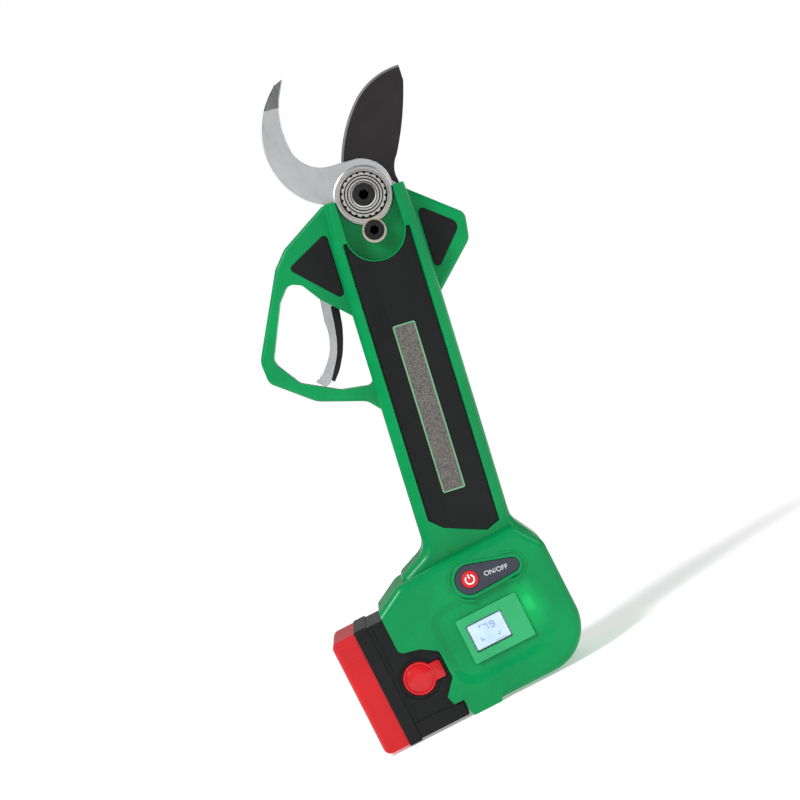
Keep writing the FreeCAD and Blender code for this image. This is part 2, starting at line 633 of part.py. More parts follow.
TRIGGER = path((-32.4, -33.5), ((-28, -28.6), (-23.6, -33.5)), (-26.6, -48),
               ((-30, -63), (-39.2, -77.2)), (-42, -78.5), (-46, -75),
               ((-36, -64), (-34, -50)), (-32.4, -33.5))
plate("trigger_lever", [TRIGGER, circle(-28, -33, s.trigger_pin_radius + s.run_gap)],
      "trigger_back", "trigger_front", HANDLE)
pin_front = s.guard_front - 1.3
pin_back = -s.guard_rear + 1.3
group("trigger_pin", [disc(-28, -33, s.trigger_pin_radius, pin_back, pin_front)], HANDLE)
switch_face = -HH + s.wall + 0.6
group("trigger_switch", [block(switch_face, switch_face + 4, -72, -60, -3, 3)], HANDLE)

# ---------------------------------------------------------------- grips and trim

for node, depth, flip in (("front_grip", "handle_front", False),
                          ("rear_grip", "handle_rear", True)):
    body = new_body(node, HANDLE)
    pad(body, [grip_outline(s.trim_gap, flip)], depth + " - grip_step", depth + " + grip_proud",
        flip)
plate("label_plate", [corners((-5.3, -140, 1), (-5.3, -61, 1), (5.3, -61, 1),
                              (5.3, -140, 1))],
      "handle_front + grip_proud", "handle_front + grip_proud + 0.3", HANDLE)
for node, outline, depth, flip in (
        ("front_left_insert", left_insert, "guard_front", False),
        ("front_right_insert", right_insert, "guard_front", False),
        ("rear_left_insert", left_insert, "guard_rear", True),
        ("rear_right_insert", right_insert, "guard_rear", True)):
    body = new_body(node, HANDLE)
    pad(body, [outline(s.trim_gap)], depth + " - insert_thick + 0.2", depth + " + 0.2",
        flip)

# ---------------------------------------------------------------- display and power

window = corners((-15.6, 24.4, 1.5), (2.4, 24.4, 1.5), (2.4, 37.8, 1.5),
                 (-15.6, 37.8, 1.5))
bezel_outline = corners((-18.6, 20.2, 3), (11.7, 20.2, 3), (11.7, 41.8, 3),
                        (-18.6, 41.8, 3))
plate("display_bezel", [bezel_outline, window], "pod_half - 1.6", "pod_half - 0.4")
glass = corners((-15.4, 24.6, 1.4), (2.2, 24.6, 1.4), (2.2, 37.6, 1.4),
                (-15.4, 37.6, 1.4))
plate("display_window", [glass], "pod_half - 1.6", "pod_half - 0.7")
screen = corners((-14.9, 25.3, 0.5), (1.7, 25.3, 0.5), (1.7, 36.9, 0.5),
                 (-14.9, 36.9, 0.5))
plate("display_screen", [screen], "pod_half - 4.2", "pod_half - 1.8")
plate("display_board", [corners((-22, 18, 1), (18, 18, 1), (18, 58.4, 1), (-22, 58.4, 1))],
      "pod_half - 5.4", "pod_half - 4.2")
group("status_light", [block(14, 17, 26, 43, s.pod_half - 4.2, s.pod_half - s.wall - 0.3)])
plate("power_panel", [power_outline(s.trim_gap), circle(*POWER, s.power_radius + 0.25)],
      "pod_half - 0.8", "pod_half + 0")
power = plate("power_button", [circle(*POWER, s.power_radius)],
              "pod_half - wall - 0.2", "pod_half + 0")
pad(power, [circle(*POWER, 1.5)], "pod_half - 3.4", "pod_half - wall - 0.2")

# ---------------------------------------------------------------- battery

collar = s.battery_left + s.cap_length
case_left = collar + s.collar_length
shelf = s.lip_left - 0.5


def box_outline(x0, x1, z0, z1, r):
    return corners((x0, z0, r), (x1, z0, r), (x1, z1, r), (x0, z1, r))


case = new_body("battery_case")
profile = corners((collar, 0.6, 0), (case_left, 0.6, 0), (case_left, s.pod_floor, 0),
                  (shelf, s.pod_floor, 0.5), (shelf, s.tongue_bottom, 0),
                  (s.tongue_right, s.tongue_bottom, 10), (s.tongue_right, s.battery_top - 0.2, 3),
                  (shelf, s.battery_top - 0.2, 0), (shelf, s.battery_top, 0),
                  (case_left, s.battery_top, 0), (case_left, s.battery_top + 0.7, 0),
                  (collar, s.battery_top + 0.7, 0))
for flip in (False, True):
    pad(case, [profile], "0", "tongue_half", flip)
    pad(case, [corners((case_left, s.pod_floor, 0), (shelf, s.pod_floor, 0.5),
                       (shelf, s.battery_top, 0), (case_left, s.battery_top, 0))],
        "0", "battery_half", flip)
    pad(case, [box_outline(collar, case_left, 0.6, s.battery_top + 0.7, 0)], "0",
        "battery_half + 0.7", flip)
hollow_low = s.tongue_bottom + s.battery_wall
hollow = corners((collar - 1, hollow_low, 0), (s.tongue_right - 1.5, hollow_low, 8.5),
                 (s.tongue_right - 1.5, s.battery_top - s.battery_wall - 0.2, 1.5),
                 (collar - 1, s.battery_top - s.battery_wall - 0.2, 0))
for flip in (False, True):
    cut(case, [hollow], "0", "tongue_half - battery_wall", flip)
    cut(case, [box_outline(collar - 1, shelf - 2, hollow_low, s.battery_top - 2.2, 0)],
        "0", "battery_half - battery_wall", flip)
BUTTON_TAB = 4.2
tab_right = s.button_x + s.button_radius + 4


def button_outline(gap):
    """Round button with a tab that hooks behind the pod mouth."""
    r = s.button_radius + gap
    tab = BUTTON_TAB + gap
    reach = math.sqrt(r * r - tab * tab)
    x, z = s.button_x, s.button_height
    return path((x + reach, z - tab), (tab_right + gap, z - tab),
                (tab_right + gap, z + tab), (x + reach, z + tab),
                ((x - r, z), (x + reach, z - tab)))


for flip in (False, True):
    cut(case, [button_outline(0.3)], "battery_half - button_travel - 3.6",
        "battery_half + 1", flip)
# slots for the terminals in the inner end
terminal_heights = [22.0, 27.0, 32.0, 37.0]
for z in terminal_heights:
    cut(case, [box_outline(s.tongue_right - 3, s.tongue_right + 1, z - 0.9, z + 0.9, 0)],
        "0", "6")
    cut(case, [box_outline(s.tongue_right - 3, s.tongue_right + 1, z - 0.9, z + 0.9, 0)],
        "0", "6", True)

cap = new_body("battery_end_cap")
cap_profile = box_outline(s.battery_left, collar, s.pod_floor, s.battery_top + 0.2, 0)
for flip in (False, True):
    pad(cap, [cap_profile], "0", "battery_half", flip)
soften(cap, "collar_length - 2.5", lambda p: abs(p.x - s.battery_left) < 1e-4)
for flip in (False, True):
    cut(cap, [box_outline(s.battery_left + 3, collar + 1, s.pod_floor + 3,
                          s.battery_top - 2.8, 0)], "0", "battery_half - 3", flip)

cell_z = [31.4 - s.cell_radius - 0.3, 31.4 + s.cell_radius + 0.3]
cell_y = [-s.cell_radius - 0.2, s.cell_radius + 0.2]
cell_left = s.tongue_right - 10 - s.cell_length
spots = [(y, z) for y in cell_y for z in cell_z]


def along_x(r, x0, x1, y, z):
    return Part.makeCylinder(r, x1 - x0, Vector(x0, y, z), Vector(1, 0, 0))


group("battery_cells", [along_x(s.cell_radius, cell_left, cell_left + s.cell_length, y, z)
                        for y, z in spots])
holders = []
for x0 in (cell_left + 1, cell_left + s.cell_length - 6):
    frame = block(x0, x0 + 5, hollow_low + 0.05, s.battery_top - s.battery_wall - 0.25,
                  -(s.tongue_half - s.battery_wall - 0.05),
                  s.tongue_half - s.battery_wall - 0.05)
    for y, z in spots:
        frame = frame.cut(along_x(s.cell_radius + 0.05, x0 - 1, x0 + 6, y, z))
    holders.append(frame)
group("cell_holders", holders)
bms_left = cell_left + s.cell_length
group("protection_board", [block(bms_left + 0.3, bms_left + 1.9, 16, 48, -15, 15)])

# ---------------------------------------------------------------- release buttons

for node, flip in (("front_release_button", False), ("rear_release_button", True)):
    body = new_body(node)
    pad(body, [button_outline(0)], "max( battery_half - 3.2 ; tongue_half - battery_wall )",
        "battery_half + button_travel", flip)

# ---------------------------------------------------------------- cradle, terminals

cradle_top = s.battery_top + s.slide_gap + s.cradle_wall - 0.2
cradle_left = s.lip_left + 0.2
cradle_right = s.tongue_right + s.slide_gap + s.cradle_wall
cradle = new_body("battery_cradle")
outside = corners((cradle_left, s.pod_floor + s.wall, 0),
                  (cradle_right, s.pod_floor + s.wall, 12),
                  (cradle_right, cradle_top, 2), (cradle_left, cradle_top, 0))
inside = corners((cradle_left - 1, s.tongue_bottom - s.slide_gap, 0),
                 (s.tongue_right + s.slide_gap, s.tongue_bottom - s.slide_gap, 10),
                 (s.tongue_right + s.slide_gap, s.battery_top, 3),
                 (cradle_left - 1, s.battery_top, 0))
for flip in (False, True):
    pad(cradle, [outside], "0", "tongue_half + slide_gap + cradle_wall", flip)
for flip in (False, True):
    cut(cradle, [inside], "0", "tongue_half + slide_gap", flip)
    for z in terminal_heights:
        cut(cradle, [box_outline(cradle_right - 3, cradle_right + 1, z - 0.6, z + 0.6, 0)],
            "0", "4", flip)
blades = [block(s.tongue_right - 3, cradle_right + 4, z - 0.5, z + 0.5, -3.8, 3.8)
          for z in terminal_heights]
group("power_terminals", blades)
terminal_block = block(cradle_right, s.pod_right - s.wall - 1, 18, 41, -9, 9)
for z in terminal_heights:
    terminal_block = terminal_block.cut(
        block(cradle_right - 1, cradle_right + 4, z - 0.5, z + 0.5, -3.8, 3.8))
group("terminal_block", [terminal_block])

# ---------------------------------------------------------------- write

doc.recompute()
failed = [o.Name for o in doc.Objects if {"Invalid", "Error"} & set(o.State)]
broken = [n.Label for n in NODES if n.Shape.isNull() or not n.Shape.isValid()]
if failed or broken:
    raise RuntimeError(f"failed: {failed}, broken: {broken}")
os.makedirs("parts", exist_ok=True)
for node in NODES:
    node.Shape.exportStep(f"parts/{node.Label}.step")
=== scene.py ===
import json
import math

import bmesh
import bpy
from mathutils import Matrix, Vector


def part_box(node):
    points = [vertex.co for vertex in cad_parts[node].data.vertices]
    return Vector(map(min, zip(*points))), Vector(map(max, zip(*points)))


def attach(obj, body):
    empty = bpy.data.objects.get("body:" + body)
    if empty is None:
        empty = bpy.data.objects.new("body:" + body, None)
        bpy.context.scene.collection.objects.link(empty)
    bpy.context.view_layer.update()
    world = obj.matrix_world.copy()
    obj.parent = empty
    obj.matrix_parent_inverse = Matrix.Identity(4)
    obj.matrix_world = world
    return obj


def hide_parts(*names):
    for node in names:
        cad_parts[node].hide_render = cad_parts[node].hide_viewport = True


bl_info = {
    "name": "Battery Pruner",
    "version": (1, 0, 0),
    "blender": (4, 5, 0),
    "location": "View3D > Sidebar > Pruner",
    "description": "Builds the finished shells, blades and trim of a cordless pruner",
    "category": "Add Mesh",
}

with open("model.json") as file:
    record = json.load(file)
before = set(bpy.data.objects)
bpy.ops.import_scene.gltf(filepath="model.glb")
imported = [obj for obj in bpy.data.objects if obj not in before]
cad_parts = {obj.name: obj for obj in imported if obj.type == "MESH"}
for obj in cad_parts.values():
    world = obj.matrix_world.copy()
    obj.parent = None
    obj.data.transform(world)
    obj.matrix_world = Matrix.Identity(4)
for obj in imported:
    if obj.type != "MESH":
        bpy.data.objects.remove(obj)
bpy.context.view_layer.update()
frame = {"nodes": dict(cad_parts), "record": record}
MM = 0.001
MICRON = 0.000001
SAME_POINT = 2e-6        # mesh points nearer than this are merged, m
ONE_FLAT = math.radians(0.6)     # faces that meet at less than this become one
CORNER_STEPS = 6         # segments of a rounded corner of an outline

# Depths in mm are counted from the middle plane to the display side, which faces -Y.
# The handle's own frame: origin at the blade pivot, z up the handle.
JOINTS = {joint["name"]: joint for joint in frame["record"]["behaviour"]["joints"]}
PIVOT = Vector(JOINTS["blade_swing"]["pos_m"])
UP = Vector(JOINTS["pinion_spin"]["axis"]).normalized()
ACROSS = Vector((0, 1, 0)).cross(UP).normalized()
HANDLE = Matrix.Translation(PIVOT) @ Matrix(
    (ACROSS, Vector((0, 1, 0)), UP)).transposed().to_4x4()
BODY_OF = {node: body for body, nodes in frame["record"]["behaviour"]["bodies"].items()
           for node in nodes}
SLOT_OF = {part["node"]: part["material_slot"] for part in frame["record"]["subparts"]}


# ------------------------------------------------------------------ settings

class PrunerColours(bpy.types.PropertyGroup):
    """Base colours of the finishes."""
    green: bpy.props.FloatVectorProperty(
        name="Shell green", description="Moulded housing", subtype="COLOR",
        default=(0.0, 0.27, 0.075), min=0, max=1)
    red: bpy.props.FloatVectorProperty(
        name="Battery red", description="End cap and release buttons", subtype="COLOR",
        default=(0.60, 0.008, 0.012), min=0, max=1)
    black: bpy.props.FloatVectorProperty(
        name="Grip black", description="Grip panels, inserts and battery case",
        subtype="COLOR", default=(0.008, 0.0085, 0.009), min=0, max=1)
    steel: bpy.props.FloatVectorProperty(
        name="Steel", description="Hook blade and lock nut", subtype="COLOR",
        default=(0.66, 0.67, 0.68), min=0, max=1)
    coating: bpy.props.FloatVectorProperty(
        name="Blade coating", description="Cutting blade", subtype="COLOR",
        default=(0.028, 0.025, 0.025), min=0, max=1)


class PrunerSizes(bpy.types.PropertyGroup):
    """Sizes of the details that the frame leaves plain."""
    edge: bpy.props.FloatProperty(
        name="Moulded edge", description="Rounding of moulded edges", unit="LENGTH",
        default=0.35 * MM)
    grind: bpy.props.FloatProperty(
        name="Grind", description="Width of the ground strip on the blade",
        unit="LENGTH", default=1.1 * MM)
    moat: bpy.props.FloatProperty(
        name="Display moat", description="Depth of the recess round the display",
        unit="LENGTH", default=1.5 * MM)
    rim: bpy.props.FloatProperty(
        name="Panel rim", description="Radius of the rim round the power panel",
        unit="LENGTH", default=0.55 * MM)
    grip_slope: bpy.props.FloatProperty(
        name="Grip slope", description="Fall of the grip's side facets per metre",
        default=0.17)


def colours():
    return bpy.context.scene.pruner_colours


def sizes():
    return bpy.context.scene.pruner_sizes


# ------------------------------------------------------------------ finishes

FINISHES = {}            # finish name: its material
CLOUDS = 38.0            # noise scale of a plastic's uneven colour
GLOSS = 140.0            # noise scale of a plastic's uneven gloss
STAINS = 60.0            # noise scale of a metal's darker marks
PAINTED_GLOW_REACH = (0.012, 0.006, 0.016)       # how far the lamp's painted glow reaches over the shell, m

# Finish, colour, lowest and highest roughness, grain scale, grain depth in microns
PLASTICS = (
    # the bezel's green is lighter than the shell's: green plastic with a painted reflection
    # on its flat front
    ("bezel_green", (0.035, 0.40, 0.15), 0.32, 0.45, 1500, 20),
    ("inner_plastic", (0.05, 0.05, 0.055), 0.4, 0.6, 1400, 40),
    ("board_green", (0.01, 0.12, 0.05), 0.3, 0.5, 700, 40),
    ("cell_wrap", (0.03, 0.12, 0.36), 0.25, 0.4, 900, 30),
    ("lead_cover", (0.4, 0.02, 0.02), 0.4, 0.55, 900, 30),
    ("panel_grey", (0.045, 0.05, 0.07), 0.3, 0.42, 1700, 20),
    ("print_white", (0.75, 0.77, 0.8), 0.4, 0.5, 1700, 10),
    ("label_border", (0.16, 0.36, 0.20), 0.35, 0.5, 1400, 20),
    ("screen_light", (0.55, 0.68, 0.86), 0.3, 0.4, 1500, 10),
    ("digit_blue", (0.02, 0.10, 0.42), 0.3, 0.4, 1500, 10),
    ("light_green", (0.1, 0.8, 0.35), 0.3, 0.4, 900, 20),
    ("power_red", (0.30, 0.015, 0.02), 0.25, 0.4, 1500, 20),
    ("icon_lit", (0.95, 0.75, 0.75), 0.3, 0.4, 1500, 10),
    ("window_clear", (0.9, 0.95, 1.0), 0.04, 0.08, 500, 10),
    # the next finish is a painted shadow, used only for the ring under the lock nut
    ("shadow_black", (0.006, 0.006, 0.006), 0.6, 0.8, 900, 20),
)

# Finish, colour and strength of its own light; the label border's is painted light, as it
# is no lamp
GLOWS = (
    # painted light: the label border glows a little though it is no lamp
    ("label_border", (0.05, 0.2, 0.09), 0.15),
    ("screen_light", (0.66, 0.82, 1.0), 0.75),
    ("digit_blue", (0.02, 0.14, 0.7), 0.25),
    ("light_green", (0.1, 0.9, 0.3), 2.0),
    ("power_red", (0.8, 0.02, 0.03), 0.5),
    ("icon_lit", (1.0, 0.55, 0.55), 1.6),
)

# Finish, colour, lowest and highest roughness, grain scale on each axis, marks and,
# where it isn't the usual one, grain depth in microns
METALS = (
    ("trigger_chrome", (0.52, 0.53, 0.54), 0.1, 0.2, (300, 300, 300), 0.06),
    ("gear_steel", (0.40, 0.40, 0.41), 0.25, 0.45, (700, 700, 700), 0.06),
    ("pin_steel", (0.62, 0.62, 0.63), 0.15, 0.3, (700, 200, 700), 0.04),
    ("screw_steel", (0.30, 0.30, 0.31), 0.25, 0.42, (700, 200, 700), 0.06),
    ("nut_steel", (0.66, 0.65, 0.63), 0.2, 0.34, (500, 200, 500), 0.05, 6),
    ("zinc_plate", (0.72, 0.67, 0.55), 0.25, 0.42, (300, 300, 900), 0.06),
    ("motor_steel", (0.48, 0.48, 0.48), 0.3, 0.45, (500, 500, 500), 0.05),
    ("bronze", (0.5, 0.33, 0.14), 0.3, 0.5, (800, 800, 800), 0.08),
    ("brass_contact", (0.7, 0.52, 0.2), 0.2, 0.35, (800, 800, 800), 0.05),
)


class Tree:
    """A material's node tree, with short calls for the nodes used here."""

    def __init__(self, name):
        self.material = bpy.data.materials.new(name)
        self.material.use_nodes = True
        self.nodes = self.material.node_tree.nodes
        self.links = self.material.node_tree.links
        self.shader = self.nodes["Principled BSDF"]
        self.place = self.nodes.new("ShaderNodeTexCoord").outputs["Object"]
        FINISHES[name] = self.material

    def set(self, **values):
        """Sets shader inputs, with _ for each space in their names."""
        for key, value in values.items():
            is_colour = hasattr(value, "__len__")
            socket = self.shader.inputs[key.replace("_", " ")]
            socket.default_value = (*value, 1) if is_colour else value

    def stretched(self, scale, turn):
        """Object coordinates scaled on each axis and turned about Y."""
        mapping = self.nodes.new("ShaderNodeMapping")
        mapping.inputs["Scale"].default_value = scale
        mapping.inputs["Rotation"].default_value = (0, turn, 0)
        self.links.new(self.place, mapping.inputs["Vector"])
        return mapping.outputs["Vector"]

    def noise(self, scale, detail=3.0, roughness=0.55, vector=None):
        node = self.nodes.new("ShaderNodeTexNoise")
        node.inputs["Scale"].default_value = scale
        node.inputs["Detail"].default_value = detail
        node.inputs["Roughness"].default_value = roughness
        self.links.new(vector or self.place, node.inputs["Vector"])
        return node.outputs["Fac"]

    def cells(self, scale):
        node = self.nodes.new("ShaderNodeTexVoronoi")
        node.inputs["Scale"].default_value = scale
        self.links.new(self.place, node.inputs["Vector"])
        return node.outputs["Distance"]

    def ramp(self, value, stops):
        """Colour or grey from a value: stops are (place, colour or grey)."""
        node = self.nodes.new("ShaderNodeValToRGB")
        ramp = node.color_ramp
        while len(ramp.elements) < len(stops):
            ramp.elements.new(0.5)
        for element, (place, colour) in zip(ramp.elements, stops):
            element.position = place
            grey = not hasattr(colour, "__len__")
            element.color = (colour, colour, colour, 1) if grey else (*colour, 1)
        self.links.new(value, node.inputs["Fac"])
        return node.outputs["Color"]

    def colour(self, output):
        self.links.new(output, self.shader.inputs["Base Color"])

    def rough(self, output):
        self.links.new(output, self.shader.inputs["Roughness"])

    def bump(self, height, strength, distance):
        node = self.nodes.new("ShaderNodeBump")
        node.inputs["Strength"].default_value = strength
        node.inputs["Distance"].default_value = distance
        self.links.new(height, node.inputs["Height"])
        self.links.new(node.outputs["Normal"], self.shader.inputs["Normal"])


def shade(colour, factor):
    return tuple(min(1.0, c * factor) for c in colour)


def moulded(name, colour, low, high, grain, depth, coat=0.0, shine=0.2):
    """Moulded plastic: cloudy colour, uneven gloss and a fine surface grain."""
    tree = Tree(name)
    dark, light = shade(colour, 0.86), shade(colour, 1.1)
    tree.colour(tree.ramp(tree.noise(CLOUDS, 4.0), [(0.3, dark), (0.7, light)]))
    tree.rough(tree.ramp(tree.noise(GLOSS, 5.0), [(0.3, low), (0.72, high)]))
    tree.bump(tree.noise(grain, 2.0), 0.25, depth * MICRON)
    tree.set(Coat_Weight=coat, Coat_Roughness=0.12, Specular_IOR_Level=shine)
    return tree


def metal(name, colour, low, high, stretch, marks, depth=20, turn=0.0):
    """Ground or turned metal: grain along one direction, with darker marks."""
    tree = Tree(name)
    lines = tree.noise(1.0, 4.0, 0.65, tree.stretched(stretch, turn))
    stain = tree.noise(STAINS, 5.0)
    tree.colour(tree.ramp(stain, [(0.3, shade(colour, 1 - 4 * marks)), (0.62, colour)]))
    tree.rough(tree.ramp(lines, [(0.3, low), (0.7, high)]))
    tree.bump(lines, 0.35, depth * MICRON)
    tree.set(Metallic=1.0)
    return tree


def shell_finish(hue):
    """Green shell, with the status lamp's light painted on it beside the display."""
    tree = moulded("green_shell", hue, 0.22, 0.34, 900, 30, coat=0.06, shine=0.15)
    lamp = [(a + b) / 2 for a, b in zip(*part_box("status_light"))]
    mapping = tree.nodes.new("ShaderNodeMapping")
    mapping.vector_type = "TEXTURE"
    mapping.inputs["Location"].default_value = lamp
    mapping.inputs["Scale"].default_value = PAINTED_GLOW_REACH
    tree.links.new(tree.place, mapping.inputs["Vector"])
    ball = tree.nodes.new("ShaderNodeTexGradient")
    ball.gradient_type = "SPHERICAL"
    tree.links.new(mapping.outputs["Vector"], ball.inputs["Vector"])
    # painted light: the shell glows green near the status lamp, brightest at its centre
    light = tree.ramp(ball.outputs["Fac"], [
        (0.0, (0, 0, 0)), (0.55, (0.0, 0.10, 0.02)), (1.0, (0.02, 0.50, 0.10))])
    tree.links.new(light, tree.shader.inputs["Emission Color"])
    tree.set(Emission_Strength=1.5)


def label_finish():
    """Grey label with a fine speckle."""
    tree = Tree("label_grey")
    speck = tree.cells(1500.0)
    tree.colour(tree.ramp(speck, [(0.05, (0.30, 0.27, 0.24)), (0.35, (0.13, 0.12, 0.11)),
                                  (0.8, (0.07, 0.065, 0.06))]))
    tree.rough(tree.ramp(tree.noise(700.0), [(0.3, 0.3), (0.7, 0.5)]))
    tree.bump(speck, 0.3, 40 * MICRON)


class PRUNER_OT_finishes(bpy.types.Operator):
    """Make the finishes that the other steps use"""
    bl_idname = "pruner.finishes"
    bl_label = "Finishes"

    def execute(self, context):
        chosen = colours()
        red, black = tuple(chosen.red), tuple(chosen.black)
        steel, coating = tuple(chosen.steel), tuple(chosen.coating)
        shell_finish(tuple(chosen.green))
        label_finish()
        moulded("grip_black", black, 0.26, 0.4, 2600, 50)
        moulded("case_black", black, 0.28, 0.42, 1800, 50)
        moulded("cap_red", red, 0.24, 0.36, 1000, 30, coat=0.12, shine=0.25)
        moulded("button_red", red, 0.2, 0.32, 1100, 30, coat=0.2, shine=0.3)
        plastics = {row[0]: moulded(*row) for row in PLASTICS}
        for name, colour, strength in GLOWS:
            plastics[name].set(Emission_Color=colour, Emission_Strength=strength)
        plastics["window_clear"].set(Transmission_Weight=1.0, IOR=1.45)
        for row in METALS:
            metal(*row)
        along = math.atan2(UP.x, UP.z)
        metal("hook_steel", steel, 0.24, 0.42, (900, 900, 60), 0.04, turn=along)
        # painted shade: the hook's tip takes the same steel at half brightness
        metal("tip_steel_painted_shade", shade(steel, 0.5), 0.24, 0.4, (900, 900, 60), 0.04, turn=along)
        metal("ground_steel", (0.78, 0.78, 0.77), 0.12, 0.24, (120, 1500, 1500), 0.02,
              turn=along)
        blade = metal("blade_coated", coating, 0.3, 0.46, (1600, 1600, 90), 0.08, 30, along)
        blade.set(Metallic=0.55)
        bolt = metal("bolt_black", (0.02, 0.02, 0.02), 0.3, 0.5, (900, 900, 900), 0.1)
        bolt.set(Metallic=0.6)
        return {"FINISHED"}


# ------------------------------------------------------------------ mesh helpers

def node_mesh(node):
    """A copy of a frame node as a clean bmesh, its flats joined into faces."""
    mesh = bmesh.new()
    mesh.from_mesh(frame["nodes"][node].data)
    bmesh.ops.remove_doubles(mesh, verts=mesh.verts, dist=SAME_POINT)
    bmesh.ops.dissolve_limit(mesh, angle_limit=ONE_FLAT, verts=mesh.verts, edges=mesh.edges)
    return mesh


def round_edges(mesh, width, segments=2, degrees=35.0, test=None):
    """Rounds the edges that turn by more than so many degrees and pass the test."""
    edges = [e for e in mesh.edges if len(e.link_faces) == 2
             and e.calc_face_angle(0) > math.radians(degrees) and (test is None or test(e))]
    if edges:
        bmesh.ops.bevel(mesh, geom=edges, offset=width, offset_type="OFFSET",
                        segments=segments, profile=0.5, affect="EDGES",
                        clamp_overlap=True, material=-1)
    return mesh


def split_at(mesh, point, normal):
    """Adds edges where a plane crosses the mesh."""
    bmesh.ops.bisect_plane(mesh, geom=mesh.verts[:] + mesh.edges[:] + mesh.faces[:],
                           dist=1e-6, plane_co=point, plane_no=normal)


def slab(points, back, front, place=None):
    """A solid from an outline of (x, z, radius), between two front depths, in mm."""
    mesh = bmesh.new()
    verts = [mesh.verts.new((x * MM, -back * MM, z * MM)) for x, z, _ in points]
    mesh.faces.new(verts)
    for vert, (_, _, radius) in zip(verts, points):
        if radius:
            bmesh.ops.bevel(mesh, geom=[vert], offset=radius * MM,
                            offset_type="OFFSET", segments=CORNER_STEPS, profile=0.5,
                            affect="VERTICES", material=-1)
    out = bmesh.ops.extrude_face_region(mesh, geom=list(mesh.faces))
    moved = [g for g in out["geom"] if isinstance(g, bmesh.types.BMVert)]
    bmesh.ops.translate(mesh, verts=moved, vec=(0, -(front - back) * MM, 0))
    bmesh.ops.recalc_face_normals(mesh, faces=mesh.faces)
    if place:
        bmesh.ops.transform(mesh, matrix=place, verts=mesh.verts)
    return mesh


def tile(left, right, bottom, top, corner, back, front):
    """An upright rectangle with rounded corners as a solid, in mm."""
    return slab([(left, bottom, corner), (right, bottom, corner),
                 (right, top, corner), (left, top, corner)], back, front)


def bar(x, z, wide, high, back, front):
    """A sharp-cornered tile round its centre."""
    return tile(x - wide / 2, x + wide / 2, z - high / 2, z + high / 2, 0, back, front)


def turned(profile, centre, steps, arc=360.0):
    """A ring or disc turned about Y: the profile is (radius, front depth), in mm."""
    mesh = bmesh.new()
    x, z = centre
    verts = [mesh.verts.new(((x + r) * MM, -f * MM, z * MM)) for r, f in profile]
    edges = [mesh.edges.new(pair) for pair in zip(verts, verts[1:])]
    bmesh.ops.spin(mesh, geom=verts + edges, cent=(x * MM, 0, z * MM), axis=(0, 1, 0),
                   angle=math.radians(arc), steps=steps, use_merge=arc == 360.0,
                   use_duplicate=False)
    bmesh.ops.remove_doubles(mesh, verts=mesh.verts, dist=1e-6)
    bmesh.ops.holes_fill(mesh, edges=mesh.edges, sides=0)
    bmesh.ops.recalc_face_normals(mesh, faces=mesh.faces)
    return mesh


def band(inner, outer, start, end, centre, steps, arc=360.0):
    """A square-edged ring between two radii and two front depths, in mm."""
    return turned([(inner, start), (inner, end), (outer, end), (outer, start),
                   (inner, start)], centre, steps, arc)


def piece(name, mesh, finish, body, stands_for=(), angle=32.0):
    """Turns a bmesh into a finished object that rides on a body.

    A list of finishes serves the mesh's material indices in turn, and edges that
    turn by more than the angle stay sharp.
    """
    data = bpy.data.meshes.new(name)
    for face in mesh.faces:
        face.smooth = True
    for edge in mesh.edges:
        edge.smooth = edge.calc_face_angle(0) < math.radians(angle)
    mesh.to_mesh(data)
    mesh.free()
    for one in finish if isinstance(finish, list) else [finish]:
        data.materials.append(FINISHES[one])
    thing = bpy.data.objects.new(name, data)
    bpy.context.scene.collection.objects.link(thing)
    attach(thing, body)
    if stands_for:
        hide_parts(*stands_for)
    return thing


def weighted(thing):
    """Shades an object's flat faces flat up to its rounded edges."""
    modifier = thing.modifiers.new("even_shading", "WEIGHTED_NORMAL")
    modifier.keep_sharp = True
    return thing


def carve(mesh, cutters):
    """The mesh with each cutter taken away from it, as a new bmesh."""
    base = bpy.data.objects.new("carved", bpy.data.meshes.new("carved"))
    mesh.to_mesh(base.data)
    mesh.free()
    tools = []
    for cutter in cutters:
        tool = bpy.data.objects.new("cutter", bpy.data.meshes.new("cutter"))
        cutter.to_mesh(tool.data)
        cutter.free()
        tools.append(tool)
    for thing in [base] + tools:
        bpy.context.scene.collection.objects.link(thing)
    for tool in tools:
        modifier = base.modifiers.new("cut", "BOOLEAN")
        modifier.operation = "DIFFERENCE"
        modifier.solver = "EXACT"
        modifier.object = tool
    shape = base.evaluated_get(bpy.context.evaluated_depsgraph_get())
    result = bmesh.new()
    result.from_mesh(shape.to_mesh())
    for thing in [base] + tools:
        bpy.data.objects.remove(thing)
    bmesh.ops.remove_doubles(result, verts=result.verts, dist=SAME_POINT)
    return result


def from_node(name, node, width, segments=2):
    """A frame node's own shape with rounded edges and its finish."""
    mesh = round_edges(node_mesh(node), width, segments)
    return weighted(piece(name, mesh, SLOT_OF[node], BODY_OF[node], [node]))


def middle(node):
    """Centre of a frame node's box, across and up, in mm."""
    low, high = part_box(node)
    return (low.x + high.x) / 2 / MM, (low.z + high.z) / 2 / MM


def front_of(node):
    """Front depth of a frame node, in mm."""
    return -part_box(node)[0].y / MM


def mirrored(mesh):
    """The same shape on the rear side."""
    bmesh.ops.scale(mesh, vec=(1, -1, 1), verts=mesh.verts)
    bmesh.ops.reverse_faces(mesh, faces=mesh.faces)
    return mesh


def joined(*meshes):
    """Several bmeshes as one."""
    whole = bmesh.new()
    for mesh in meshes:
        data = bpy.data.meshes.new("part")
        mesh.to_mesh(data)
        mesh.free()
        whole.from_mesh(data)
        bpy.data.meshes.remove(data)
    return whole


